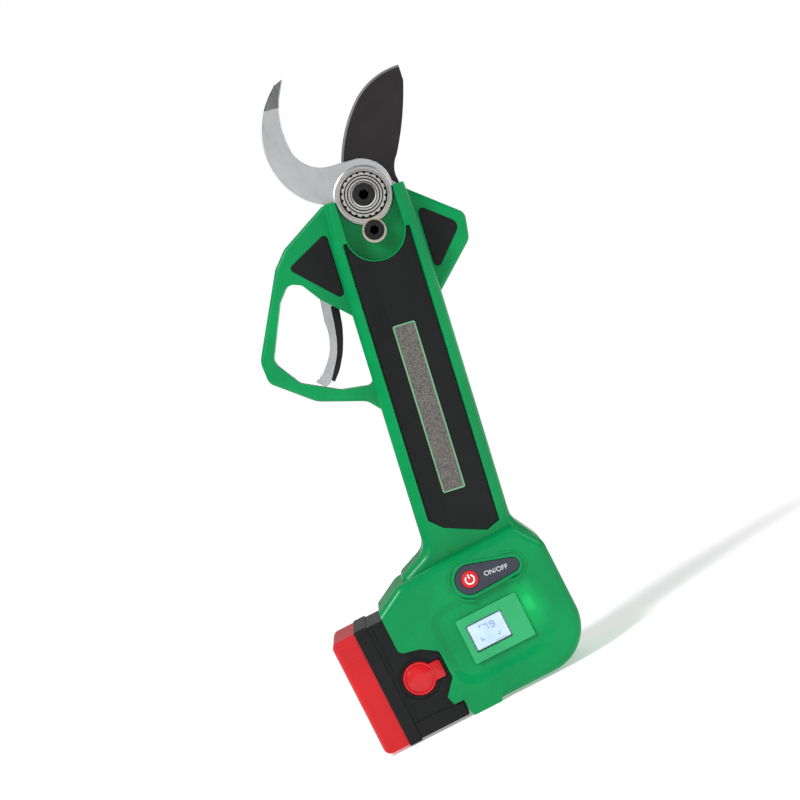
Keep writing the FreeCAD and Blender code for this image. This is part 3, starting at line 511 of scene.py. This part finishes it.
def drop(start, end):
    """A solid round two upright cylinders: (x, z, radius, back, front), in mm."""
    mesh = bmesh.new()
    lying = Matrix.Rotation(math.radians(90), 4, "X")
    for x, z, radius, back, front in (start, end):
        place = Matrix.Translation((x * MM, -(back + front) / 2 * MM, z * MM)) @ lying
        bmesh.ops.create_cone(mesh, cap_ends=True, segments=64, radius1=radius * MM,
                              radius2=radius * MM, depth=(front - back) * MM,
                              matrix=place)
    hull = bmesh.ops.convex_hull(mesh, input=mesh.verts)
    inside = {g for g in hull["geom_interior"] + hull["geom_unused"]
              if isinstance(g, bmesh.types.BMVert) and g.is_valid}
    bmesh.ops.delete(mesh, geom=list(inside), context="VERTS")
    bmesh.ops.dissolve_limit(mesh, angle_limit=ONE_FLAT, verts=mesh.verts, edges=mesh.edges)
    bmesh.ops.recalc_face_normals(mesh, faces=mesh.faces)
    return mesh


def plain_nodes(*nodes):
    """Frame nodes that keep their shape get their finish."""
    for node in nodes:
        thing = frame["nodes"][node]
        finish = FINISHES[SLOT_OF[node]]
        for slot in thing.material_slots:
            slot.material = finish
        if not thing.material_slots:
            thing.data.materials.append(finish)


# ------------------------------------------------------------------ housing

LIP_TOP = 11.0           # the front face falls back below this height, mm
FOOT_FALL = 0.11         # slope of the front face below that height
FOOT_DEPTH = 4.0         # the slope fades out this far behind the front face, mm
MOAT_LEFT = 7.5          # the display recess reaches this far past the bezel, mm
MOAT_RIGHT = 5.0
MOAT_BELOW = 4.5
MOAT_ABOVE = 5.5
MOAT_CORNER = 7.0
MOAT_FLARE = 4.6         # how far its walls slope out over their height, mm


def moat_cutter():
    """A tray-shaped cutter round the display bezel, its walls sloping out."""
    low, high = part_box("display_bezel")
    left, right = low.x / MM - MOAT_LEFT, high.x / MM + MOAT_RIGHT
    bottom, top = low.z / MM - MOAT_BELOW, high.z / MM + MOAT_ABOVE
    depth = sizes().moat / MM
    face = front_of("front_housing")
    mesh = tile(left, right, bottom, top, MOAT_CORNER, face - depth, face + 0.6)
    centre = Vector(((left + right) / 2 * MM, 0, (bottom + top) / 2 * MM))
    outer = [v for v in mesh.verts if v.co.y < -(face - depth / 2) * MM]
    flare = Vector((1 + 2 * MOAT_FLARE / (right - left), 1,
                    1 + 2 * MOAT_FLARE / (top - bottom)))
    bmesh.ops.scale(mesh, vec=flare, verts=outer, space=Matrix.Translation(-centre))
    return mesh


class PRUNER_OT_housing(bpy.types.Operator):
    """Make both moulded halves of the housing"""
    bl_idname = "pruner.housing"
    bl_label = "Housing"

    def execute(self, context):
        width = sizes().edge * 0.6
        front = carve(node_mesh("front_housing"), [moat_cutter()])
        split_at(front, (0, 0, LIP_TOP * MM), (0, 0, 1))
        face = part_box("front_housing")[0].y
        for vert in front.verts:
            below = LIP_TOP * MM - vert.co.z
            near = 1 - (vert.co.y - face) / (FOOT_DEPTH * MM)
            if below > 0 and near > 0:
                vert.co.y += below * FOOT_FALL * near
        for side, mesh in (("front", front), ("rear", node_mesh("rear_housing"))):
            round_edges(mesh, width, 1, 60)
            weighted(piece("shell_" + side, mesh, "green_shell", "housing",
                           [side + "_housing"], 20))
        return {"FINISHED"}


# ------------------------------------------------------------------ grips and trim

FACET = 6.0              # half width of the grip's flat middle, mm


def faceted(node, side):
    """A grip panel with a flat middle and falling sides; side is -1 in front."""
    mesh = node_mesh(node)
    inner = HANDLE.inverted()
    for x in (-FACET, FACET):
        split_at(mesh, HANDLE @ Vector((x * MM, 0, 0)), ACROSS)
    low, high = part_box(node)
    outer = low.y if side < 0 else high.y
    for vert in mesh.verts:
        away = abs((inner @ vert.co).x) - FACET * MM
        if away > 0 and abs(vert.co.y - outer) < 1e-5:
            vert.co.y -= side * away * sizes().grip_slope
    bmesh.ops.connect_verts_nonplanar(mesh, angle_limit=math.radians(1), faces=mesh.faces)
    return round_edges(mesh, 0.25 * MM, 2, 50)


class PRUNER_OT_grips(bpy.types.Operator):
    """Make the black grip panels and the guard inserts"""
    bl_idname = "pruner.grips"
    bl_label = "Grips and inserts"

    def execute(self, context):
        for end, side in (("front", -1), ("rear", 1)):
            piece("grip_" + end, faceted(end + "_grip", side), "grip_black", "housing",
                  [end + "_grip"], 3)
            for wing in ("left", "right"):
                name = f"{end}_{wing}"
                from_node(name + "_pad", name + "_insert", 0.3 * MM, 3)
        return {"FINISHED"}


class PRUNER_OT_label(bpy.types.Operator):
    """Make the label strip with its raised border"""
    bl_idname = "pruner.label"
    bl_label = "Label"

    def execute(self, context):
        from_node("label_strip", "label_plate", 0.05 * MM, 1)
        rim = node_mesh("label_plate")
        face = max(rim.faces, key=lambda f: -f.normal.y * f.calc_area())
        ring = bmesh.ops.inset_region(rim, faces=[face], thickness=0.75 * MM, depth=0)
        spare = [f for f in rim.faces if f not in ring["faces"]]
        bmesh.ops.delete(rim, geom=spare, context="FACES")
        raised = bmesh.ops.extrude_face_region(rim, geom=rim.faces[:])
        bmesh.ops.translate(rim, vec=(0, -0.22 * MM, 0),
                            verts=[g for g in raised["geom"]
                                   if isinstance(g, bmesh.types.BMVert)])
        bmesh.ops.recalc_face_normals(rim, faces=rim.faces)
        round_edges(rim, 0.08 * MM, 1)
        piece("label_rim", rim, "label_border", "housing")
        return {"FINISHED"}


# ------------------------------------------------------------------ blades and pivot

TIP_FROM = 48.0          # the hook's ground tip starts this far above the pivot, mm
TIP_SLANT = 0.05         # how far its start leans from square across
TIP_FALL = 0.055         # how fast the tip's face falls back
TIP_DEPTH = 7.0          # only what lies in front of this depth falls back, mm
EDGE_START = Vector((-5.6, 0, 16.5))     # chord of the cutting edge, handle frame, mm
EDGE_END = Vector((33.5, 0, 53.0))
EDGE_REACH = (-1, 54)    # the edge runs between these distances along the chord, mm
RIM_DEPTH = 0.2          # and lies this near the blade's front face, mm


def on_cutting_edge(edge):
    """Whether an edge lies on the front rim of the cutting blade's curved side."""
    spots = [(HANDLE.inverted() @ v.co) / MM for v in edge.verts]
    front = front_of("cutting_blade")
    chord = EDGE_END - EDGE_START
    for spot in spots:
        reach = Vector((spot.x, 0, spot.z)) - EDGE_START
        beside = EDGE_REACH[0] < reach.dot(chord) / chord.length < EDGE_REACH[1]
        if -spot.y < front - RIM_DEPTH or chord.cross(reach).y > 0 or not beside:
            return False
    return True


class PRUNER_OT_blades(bpy.types.Operator):
    """Make the fixed hook blade and the coated cutting blade"""
    bl_idname = "pruner.blades"
    bl_label = "Blades"

    def execute(self, context):
        hook = node_mesh("hook_blade")
        start = HANDLE @ Vector((0, 0, TIP_FROM * MM))
        slant = (UP + ACROSS * TIP_SLANT).normalized()
        split_at(hook, start, slant)
        for vert in hook.verts:
            above = (vert.co - start).dot(slant)
            if above > 0 and -vert.co.y / MM > TIP_DEPTH:
                vert.co.y += above * TIP_FALL
        bmesh.ops.connect_verts_nonplanar(hook, angle_limit=math.radians(1),
                                          faces=hook.faces)
        for face in hook.faces:
            if (face.calc_center_median() - start).dot(slant) > 0:
                # the tip's faces take the darker steel, painted shade
                face.material_index = 1
        round_edges(hook, 0.35 * MM, 2, 50)
        weighted(piece("hook", hook, ["hook_steel", "tip_steel_painted_shade"], "housing",
                       ["hook_blade"], 1.5))
        blade = node_mesh("cutting_blade")
        grind = [e for e in blade.edges if on_cutting_edge(e)]
        if not grind:
            raise RuntimeError("no cutting edge was found on the blade")
        bmesh.ops.bevel(blade, geom=grind, offset=sizes().grind, offset_type="OFFSET",
                        segments=1, profile=0.5, affect="EDGES", material=1)
        piece("blade", blade, ["blade_coated", "ground_steel"], "blade",
              ["cutting_blade"], 25)
        from_node("blade_pins", "drive_pins", 0.2 * MM)
        return {"FINISHED"}


# Radius, width and depth of each ring groove in the nut's face, mm
NUT_GROOVES = ((8.35, 0.6, 1.0), (7.0, 0.6, 0.9), (5.9, 0.35, 0.6))
GROOVE_SHADE_FROM, GROOVE_SHADE_TO = 5.8, 9.1        # radii that hold the grooves painted dark as shade, mm


class PRUNER_OT_pivot(bpy.types.Operator):
    """Make the notched lock nut, its plate, the bolt and the screws"""
    bl_idname = "pruner.pivot"
    bl_label = "Pivot and screws"

    def execute(self, context):
        centre = (PIVOT.x / MM, PIVOT.z / MM)
        top = front_of("lock_nut")
        grooves = [band(radius, radius + wide, top + 1, top - deep, centre, 96)
                   for radius, wide, deep in NUT_GROOVES]
        nut = carve(round_edges(node_mesh("lock_nut"), 0.18 * MM, 1, 50), grooves)
        for one in nut.faces:
            spot = one.calc_center_median()
            reach = math.hypot(spot.x - PIVOT.x, spot.z - PIVOT.z) / MM
            sunk = top + spot.y / MM
            # painted shade: faces sunk in the grooves take the black finish
            if GROOVE_SHADE_FROM < reach < GROOVE_SHADE_TO and 0.15 < sunk < 1.2:
                one.material_index = 1
        weighted(piece("nut", nut, ["nut_steel", "bolt_black"], "housing",
                       ["lock_nut"], 30))
        floor = front_of("lock_plate")
        # painted shadow: a black ring under the nut makes its notches look dark
        shadow = band(9.2, 10.9, floor - 0.05, floor + 0.12, centre, 96)
        piece("nut_painted_shadow", shadow, "shadow_black", "housing")
        bolt_top = front_of("pivot_bolt")
        collar = turned([(5.05, top - 0.2), (5.05, bolt_top - 0.35), (5.3, bolt_top - 0.15),
                         (5.65, bolt_top - 0.2), (5.85, top - 0.2)], centre, 96)
        weighted(piece("nut_collar", collar, "ground_steel", "housing"))
        from_node("bolt", "pivot_bolt", 0.35 * MM, 3)
        from_node("nut_plate", "lock_plate", 0.2 * MM)
        head = front_of("lock_plate_screw")
        from_node("plate_screw", "lock_plate_screw", 0.35 * MM, 3)
        ring = turned([(2.6, head - 0.1), (2.9, head + 0.05), (3.2, head + 0.05),
                       (3.5, head - 0.1)], middle("lock_plate_screw"), 48)
        weighted(piece("plate_screw_ring", ring, "bolt_black", "housing"))
        from_node("case_screws", "housing_screws", 0.2 * MM)
        boss = front_of("hook_blade")
        washer = turned([(11.6, boss - 0.05), (11.75, boss + 0.22), (12.9, boss + 0.22),
                         (13.15, boss - 0.05)], centre, 96)
        weighted(piece("pivot_washer", washer, "pin_steel", "housing"))
        return {"FINISHED"}


# ------------------------------------------------------------------ display and power

DIGIT_SEGMENTS = {"7": "abc", "9": "abcdfg"}
SEGMENT_PLACES = {       # bar centre (x, z) in digit widths and half heights, and its turn
    "a": (0, 1, 0), "g": (0, 0, 0), "d": (0, -1, 0),
    "b": (0.5, 0.5, 1), "c": (0.5, -0.5, 1), "f": (-0.5, 0.5, 1),
}
DIGIT_WIDE = 1.9         # width, half height and bar width of a digit, mm
DIGIT_HALF = 1.35
STROKE = 0.32
DIGIT_RISE = 2.4         # the digits stand this far above the screen's centre, mm
INK = 0.06               # height of the figures over the screen, mm
SCREEN_MARKS = (         # centre (x, z) from the screen's, width and height, mm
    (-4.6, -1.7, 0.3, 1.9), (-3.9, -2.5, 1.5, 0.3), (-3.2, 3.7, 0.3, 1.0),
    (-2.7, 4.1, 1.2, 0.3), (3.6, -3.2, 1.2, 0.3), (4.1, -2.6, 0.3, 1.3))
GAUGE_STEPS = 5          # dashes in the row at the screen's foot


def digit(symbol, x, z, depth):
    """A seven-segment figure as thin bars."""
    bars = []
    for name in DIGIT_SEGMENTS[symbol]:
        across, up, upright = SEGMENT_PLACES[name]
        size = (STROKE, DIGIT_HALF - 0.35) if upright else (DIGIT_WIDE - 0.35, STROKE)
        bars.append(bar(x + across * DIGIT_WIDE, z + up * DIGIT_HALF, *size, depth,
                        depth + INK))
    return bars


def plate_over(node, corner, grow, back, front):
    """A plate as wide and high as a node's box, with rounded corners."""
    low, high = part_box(node)
    return tile(low.x / MM - grow, high.x / MM + grow, low.z / MM - grow,
                high.z / MM + grow, corner, back, front)


class PRUNER_OT_display(bpy.types.Operator):
    """Make the bezel, the lit screen with its figures and the window"""
    bl_idname = "pruner.display"
    bl_label = "Display"

    def execute(self, context):
        back = -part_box("display_bezel")[1].y / MM
        front = front_of("display_bezel")
        bezel = carve(plate_over("display_bezel", 1.0, 0, back, front),
                      [plate_over("display_window", 0.6, 0.1, back - 1, front + 1)])
        round_edges(bezel, 0.3 * MM, 3, 50)
        # its lighter green is partly a painted reflection
        weighted(piece("screen_bezel", bezel, "bezel_green", "housing",
                       ["display_bezel"]))
        from_node("screen_glass", "display_window", 0.1 * MM, 1)
        from_node("screen_panel", "display_screen", 0.1 * MM, 1)
        from_node("screen_circuit", "display_board", 0.1 * MM, 1)
        from_node("lamp", "status_light", 0.2 * MM)
        x, z = middle("display_screen")
        depth = front_of("display_screen")
        bars = digit("7", x - 0.6, z + DIGIT_RISE, depth)
        bars += digit("9", x + 2.6, z + DIGIT_RISE, depth)
        for dx, dz, wide, high in SCREEN_MARKS:
            bars.append(bar(x + dx, z + dz, wide, high, depth, depth + INK))
        for step in range(GAUGE_STEPS):
            bars.append(bar(x + 1.2 + step * 1.15, z - 5.2, 0.8, 0.3, depth, depth + INK))
        piece("screen_figures", joined(*bars), "digit_blue", "housing")
        return {"FINISHED"}


RIM_IN = 0.25            # the rim starts this far outside the power panel, mm
RIM_OUT = 1.5            # and ends this far outside it
ARC_IN = RIM_OUT + 0.9   # the second, broken rim
ARC_OUT = RIM_OUT + 1.7
PANEL_TAPER = 0.49       # radius of the panel's small end over its big end's
PANEL_FALL = 2.6         # the small end lies this far below the button, mm
ICON_TURN = math.radians(-55)    # brings the gap in the power ring to the top


class PRUNER_OT_power(bpy.types.Operator):
    """Make the power panel, its rim, and the lit power button"""
    bl_idname = "pruner.power"
    bl_label = "Power panel"

    def execute(self, context):
        low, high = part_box("power_panel")
        x, z = middle("power_button")
        big = x - low.x / MM
        small = big * PANEL_TAPER
        end_x, end_z = high.x / MM - small, z - PANEL_FALL
        face = front_of("front_housing")
        from_node("switch_panel", "power_panel", 0.15 * MM)
        rise = sizes().rim / MM

        def outline(grow, back, front):
            return drop((x, z, big + grow, back, front),
                        (end_x, end_z, small + grow, back, front))

        rim = carve(outline(RIM_OUT, face - 0.4, face + rise),
                    [outline(RIM_IN, face - 1, face + 2)])
        round_edges(rim, 0.3 * MM, 3, 50)
        weighted(piece("switch_rim", rim, "green_shell", "housing"))
        arcs = carve(outline(ARC_OUT, face - 0.4, face + rise * 0.7),
                     [outline(ARC_IN, face - 1, face + 2),
                      bar(x + 7.5, z - 2, 19, 40, face - 1, face + 2)])
        round_edges(arcs, 0.15 * MM, 2, 50)
        weighted(piece("switch_rim_ends", arcs, "green_shell", "housing"))
        button = round_edges(node_mesh("power_button"), 0.35 * MM, 3, 50)
        weighted(piece("switch_button", button, "power_red", "power_key",
                       ["power_button"]))
        top = front_of("power_button")
        ring = band(1.8, 2.25, top - 0.05, top + 0.08, (x, z), 40, 290)
        centre = Matrix.Translation((x * MM, 0, z * MM))
        turn = centre @ Matrix.Rotation(ICON_TURN, 4, "Y") @ centre.inverted()
        bmesh.ops.transform(ring, matrix=turn, verts=ring.verts)
        stem = bar(x, z + 1.5, 0.45, 2.0, top - 0.05, top + 0.08)
        piece("switch_icon", joined(ring, stem), "icon_lit", "power_key")
        self.lettering(context, (x, z), (end_x, end_z))
        return {"FINISHED"}

    def lettering(self, context, start, end):
        """Prints the two positions along the panel, from its big end to its small one."""
        words = bpy.data.curves.new("switch_words", "FONT")
        words.body = "ON/OFF"
        words.size = 3.1 * MM
        words.extrude = 0.03 * MM
        words.align_x = "CENTER"
        words.align_y = "CENTER"
        holder = bpy.data.objects.new("switch_words", words)
        context.scene.collection.objects.link(holder)
        context.view_layer.update()
        shape = bpy.data.meshes.new_from_object(holder)
        bpy.data.objects.remove(holder)
        mesh = bmesh.new()
        mesh.from_mesh(shape)
        spot = Vector((((start[0] + end[0]) / 2 + 2.4) * MM,
                       -(front_of("power_panel") + 0.03) * MM,
                       ((start[1] + end[1]) / 2 - 0.2) * MM))
        tilt = Matrix.Rotation(math.atan2(start[1] - end[1], end[0] - start[0]), 4, "Y")
        upright = Matrix.Rotation(math.radians(90), 4, "X")
        bmesh.ops.transform(mesh, matrix=Matrix.Translation(spot) @ tilt @ upright,
                            verts=mesh.verts)
        piece("switch_lettering", mesh, "print_white", "housing")


# ------------------------------------------------------------------ battery

GROOVE_GAP = 1.1         # from a release button to the groove round it, mm
GROOVE_WIDTH = 1.0
GROOVE_DEPTH = 0.7
SEAM_LINE = 8.4          # from the end cap to the thin groove across the case, mm
RAIL_START = 6.2         # from the end cap to the side rail, mm
RAIL_END = 15.8          # the rail's other end, inside the housing's mouth, mm
RAIL_RISE = 0.55         # height of the rail over the case's side, mm
CAP_ROUNDING = 3.2


class PRUNER_OT_battery(bpy.types.Operator):
    """Make the battery's case, end cap and release buttons"""
    bl_idname = "pruner.battery"
    bl_label = "Battery"

    def execute(self, context):
        _, z = middle("front_release_button")
        low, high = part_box("front_release_button")
        radius = (high.z - low.z) / 2 / MM
        x = low.x / MM + radius
        cap_low, cap_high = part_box("battery_end_cap")
        face, seam = -cap_low.y / MM, cap_high.x / MM
        cutters = []
        for rear in (False, True):
            ring = band(radius + GROOVE_GAP, radius + GROOVE_GAP + GROOVE_WIDTH, face + 1,
                        face - GROOVE_DEPTH, (x, z), 72)
            line = bar(seam + SEAM_LINE, z, 0.5, 90, face - 0.35, face + 1)
            cutters += [mirrored(ring), mirrored(line)] if rear else [ring, line]
        case = carve(node_mesh("battery_case"), cutters)
        round_edges(case, 0.3 * MM, 2, 50)
        weighted(piece("pack_case", case, "case_black", "battery",
                       ["battery_case"], 30))
        left, foot = seam + RAIL_START, cap_low.z / MM
        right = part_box("front_housing")[0].x / MM + RAIL_END
        for side in ("front", "rear"):
            rail = slab([(left, foot + 0.2, 0.4), (right, foot + 0.2, 0.4),
                         (right, foot + 6.6, 0.6), (right - 6, foot + 6.6, 0.6),
                         (right - 9, foot + 7.4, 0.6), (left, foot + 7.4, 0.6)],
                        face - 0.3, face + RAIL_RISE)
            round_edges(rail, 0.3 * MM, 2, 50)
            if side == "rear":
                mirrored(rail)
            weighted(piece("pack_rail_" + side, rail, "case_black", "battery"))
        cap = node_mesh("battery_end_cap")
        round_edges(cap, CAP_ROUNDING * MM, 6, 50,
                    lambda edge: all(v.co.x < cap_low.x + 1e-4 for v in edge.verts))
        weighted(piece("pack_cap", cap, "cap_red", "battery",
                       ["battery_end_cap"], 40))
        front, back = -low.y / MM, -high.y / MM
        for side in ("front", "rear"):
            dome = turned([(0, back), (radius - 0.4, back), (radius, back + 0.5),
                           (radius, front - 0.8), (radius - 0.3, front - 0.45),
                           (radius - 1.0, front - 0.45), (radius - 1.25, front - 0.95),
                           (radius - 1.6, front - 0.8), (radius * 0.62, front - 0.28),
                           (radius * 0.35, front - 0.05), (0, front)], (x, z), 72)
            half, root, end = radius * 0.55, x + radius * 0.8, high.x / MM
            tab = slab([(root, z - half, 0), (end, z - half, 0.8), (end, z + half, 0.8),
                        (root, z + half, 0)], back, front - 0.7)
            round_edges(tab, 0.35 * MM, 2, 50)
            whole = joined(dome, tab)
            if side == "rear":
                mirrored(whole)
            name = side + "_release_button"
            piece(name + "_dome", whole, "button_red", side + "_release",
                  [name], 40)
        return {"FINISHED"}


# ------------------------------------------------------------------ trigger and inside

STRIP_OUTLINE = (        # (x, z, corner radius) in the handle's frame, mm
    (-25.6, -44, 0.6), (-26.7, -54, 2), (-28.2, -60, 2), (-30.2, -66, 2), (-33.8, -73, 2),
    (-37.6, -77.6, 0.4), (-38.8, -76.2, 0.4), (-36, -71.6, 2), (-33, -66, 2),
    (-31.2, -60, 2), (-30, -52, 2), (-29.4, -44, 0.6))


class PRUNER_OT_trigger(bpy.types.Operator):
    """Make the polished trigger with its black backing strip"""
    bl_idname = "pruner.trigger"
    bl_label = "Trigger"

    def execute(self, context):
        lever = round_edges(node_mesh("trigger_lever"), 0.7 * MM, 3, 50)
        weighted(piece("lever", lever, "trigger_chrome", "trigger",
                       ["trigger_lever"], 40))
        low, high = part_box("trigger_lever")
        strip = slab(STRIP_OUTLINE, -high.y / MM - 0.2, -low.y / MM + 0.2, HANDLE)
        round_edges(strip, 0.25 * MM, 2, 50)
        piece("lever_strip", strip, "grip_black", "trigger", (), 40)
        from_node("lever_pin", "trigger_pin", 0.25 * MM)
        return {"FINISHED"}


class PRUNER_OT_inside(bpy.types.Operator):
    """Finish the drive, the electronics and the cells inside"""
    bl_idname = "pruner.inside"
    bl_label = "Inside parts"

    def execute(self, context):
        for node in ("motor_can", "motor_end_bell", "gearbox", "battery_cells",
                     "cell_holders", "thrust_washer", "terminal_block"):
            from_node(node + "_part", node, 0.25 * MM)
        plain_nodes("sector_gear", "pivot_bush", "drive_pinion", "pinion_bearing",
                    "motor_leads", "controller_board", "trigger_switch",
                    "protection_board", "battery_cradle", "power_terminals")
        return {"FINISHED"}


# ------------------------------------------------------------------ stage

VIEW_CENTRE = Vector((4.9, -28.0, 142.5)) * MM
VIEW_WIDTH = 360.0 * MM
VIEW_DISTANCE = 1.3
VIEW_ROLL = math.radians(27.0)
VIEW_RISE = math.radians(2.0)
FLOOR_RADIUS = 12.0
FLOOR_LIGHT = 0.34       # the floor's own light, which keeps it white
ROOM_LIGHT = 0.24        # white surroundings, as the object sees them
ROOM_SEEN = 1.0          # and as the camera sees them
SUN_PLACE = (-0.6, -0.6, 1.0)
SUN_POWER = 2.1
SUN_ANGLE = math.radians(16)
LAMPS = (                # name, place in m, size in m, power in W
    ("key_light", (-0.9, -1.1, 0.9), 0.7, 4.0),
    ("front_light", (-0.1, -1.5, 0.3), 0.5, 0.35),
    ("side_light", (1.0, -0.5, 0.5), 0.5, 3.0),
    ("back_light", (0.3, 1.1, 0.9), 0.7, 4.0),
)


def white(nodes, strength):
    """A white background shader of the given strength."""
    node = nodes.new("ShaderNodeBackground")
    node.inputs["Color"].default_value = (1, 1, 1, 1)
    node.inputs["Strength"].default_value = strength
    return node.outputs[0]


class PRUNER_OT_stage(bpy.types.Operator):
    """Set out the floor, the lights and the camera"""
    bl_idname = "pruner.stage"
    bl_label = "Stage"

    def execute(self, context):
        scene = context.scene
        scene.view_settings.view_transform = "Standard"
        self.add_camera(scene)
        self.add_floor(scene)
        self.add_world(scene)
        sun = bpy.data.objects.new("sky_light", bpy.data.lights.new("sky_light", "SUN"))
        sun.data.energy = SUN_POWER
        sun.data.angle = SUN_ANGLE
        sun.rotation_euler = Vector(SUN_PLACE).to_track_quat("Z", "Y").to_euler()
        scene.collection.objects.link(sun)
        for name, place, size, power in LAMPS:
            lamp = bpy.data.objects.new(name, bpy.data.lights.new(name, "AREA"))
            lamp.data.size = size
            lamp.data.energy = power
            lamp.location = place
            aim = Vector(place) - VIEW_CENTRE
            lamp.rotation_euler = aim.to_track_quat("Z", "Y").to_euler()
            scene.collection.objects.link(lamp)
        return {"FINISHED"}

    def add_camera(self, scene):
        """A camera square to the front, rolled as the tool is held."""
        camera = bpy.data.objects.new("camera", bpy.data.cameras.new("camera"))
        camera.data.lens = camera.data.sensor_width * VIEW_DISTANCE / VIEW_WIDTH
        back = Vector((0, -math.cos(VIEW_RISE), math.sin(VIEW_RISE)))
        across = Vector((1, 0, 0))
        above = back.cross(across)
        right = across * math.cos(VIEW_ROLL) - above * math.sin(VIEW_ROLL)
        up = across * math.sin(VIEW_ROLL) + above * math.cos(VIEW_ROLL)
        turn = Matrix((right, up, back)).transposed().to_4x4()
        place = VIEW_CENTRE + back * VIEW_DISTANCE
        camera.matrix_world = Matrix.Translation(place) @ turn
        scene.collection.objects.link(camera)
        scene.camera = camera

    def add_floor(self, scene):
        """A round white floor that reaches out of sight."""
        disc = bmesh.new()
        bmesh.ops.create_circle(disc, cap_ends=True, segments=96, radius=FLOOR_RADIUS)
        data = bpy.data.meshes.new("floor")
        disc.to_mesh(data)
        disc.free()
        pale = Tree("floor_pale")
        pale.set(Base_Color=(0.93, 0.93, 0.93), Roughness=0.9, Specular_IOR_Level=0.0,
                 Emission_Color=(1, 1, 1), Emission_Strength=FLOOR_LIGHT)
        data.materials.append(pale.material)
        floor = bpy.data.objects.new("floor", data)
        scene.collection.objects.link(floor)

    def add_world(self, scene):
        """White surroundings that look brighter to the camera than they light."""
        world = bpy.data.worlds.new("studio")
        scene.world = world
        world.use_nodes = True
        nodes, links = world.node_tree.nodes, world.node_tree.links
        nodes.remove(nodes["Background"])
        rays = nodes.new("ShaderNodeLightPath")
        mix = nodes.new("ShaderNodeMixShader")
        links.new(rays.outputs["Is Camera Ray"], mix.inputs[0])
        links.new(white(nodes, ROOM_LIGHT), mix.inputs[1])
        links.new(white(nodes, ROOM_SEEN), mix.inputs[2])
        links.new(mix.outputs[0], nodes["World Output"].inputs["Surface"])


class PRUNER_PT_panel(bpy.types.Panel):
    """Lists the steps that build the pruner"""
    bl_label = "Battery Pruner"
    bl_idname = "PRUNER_PT_panel"
    bl_space_type = "VIEW_3D"
    bl_region_type = "UI"
    bl_category = "Pruner"

    def draw(self, context):
        for settings in (context.scene.pruner_colours, context.scene.pruner_sizes):
            box = self.layout.box()
            for name in settings.__annotations__:
                box.prop(settings, name)
        for step in STEPS:
            self.layout.operator(step.bl_idname)


STEPS = (PRUNER_OT_stage, PRUNER_OT_finishes, PRUNER_OT_housing, PRUNER_OT_grips,
         PRUNER_OT_label, PRUNER_OT_blades, PRUNER_OT_pivot, PRUNER_OT_display,
         PRUNER_OT_power, PRUNER_OT_battery, PRUNER_OT_trigger, PRUNER_OT_inside)
CLASSES = (PrunerColours, PrunerSizes) + STEPS + (PRUNER_PT_panel,)


def register():
    for one in CLASSES:
        bpy.utils.register_class(one)
    bpy.types.Scene.pruner_colours = bpy.props.PointerProperty(type=PrunerColours)
    bpy.types.Scene.pruner_sizes = bpy.props.PointerProperty(type=PrunerSizes)


def unregister():
    del bpy.types.Scene.pruner_sizes
    del bpy.types.Scene.pruner_colours
    for one in reversed(CLASSES):
        bpy.utils.unregister_class(one)


def main():
    register()
    for step in STEPS:
        group, name = step.bl_idname.split(".")
        getattr(getattr(bpy.ops, group), name)()


if __name__ == "__main__":
    main()
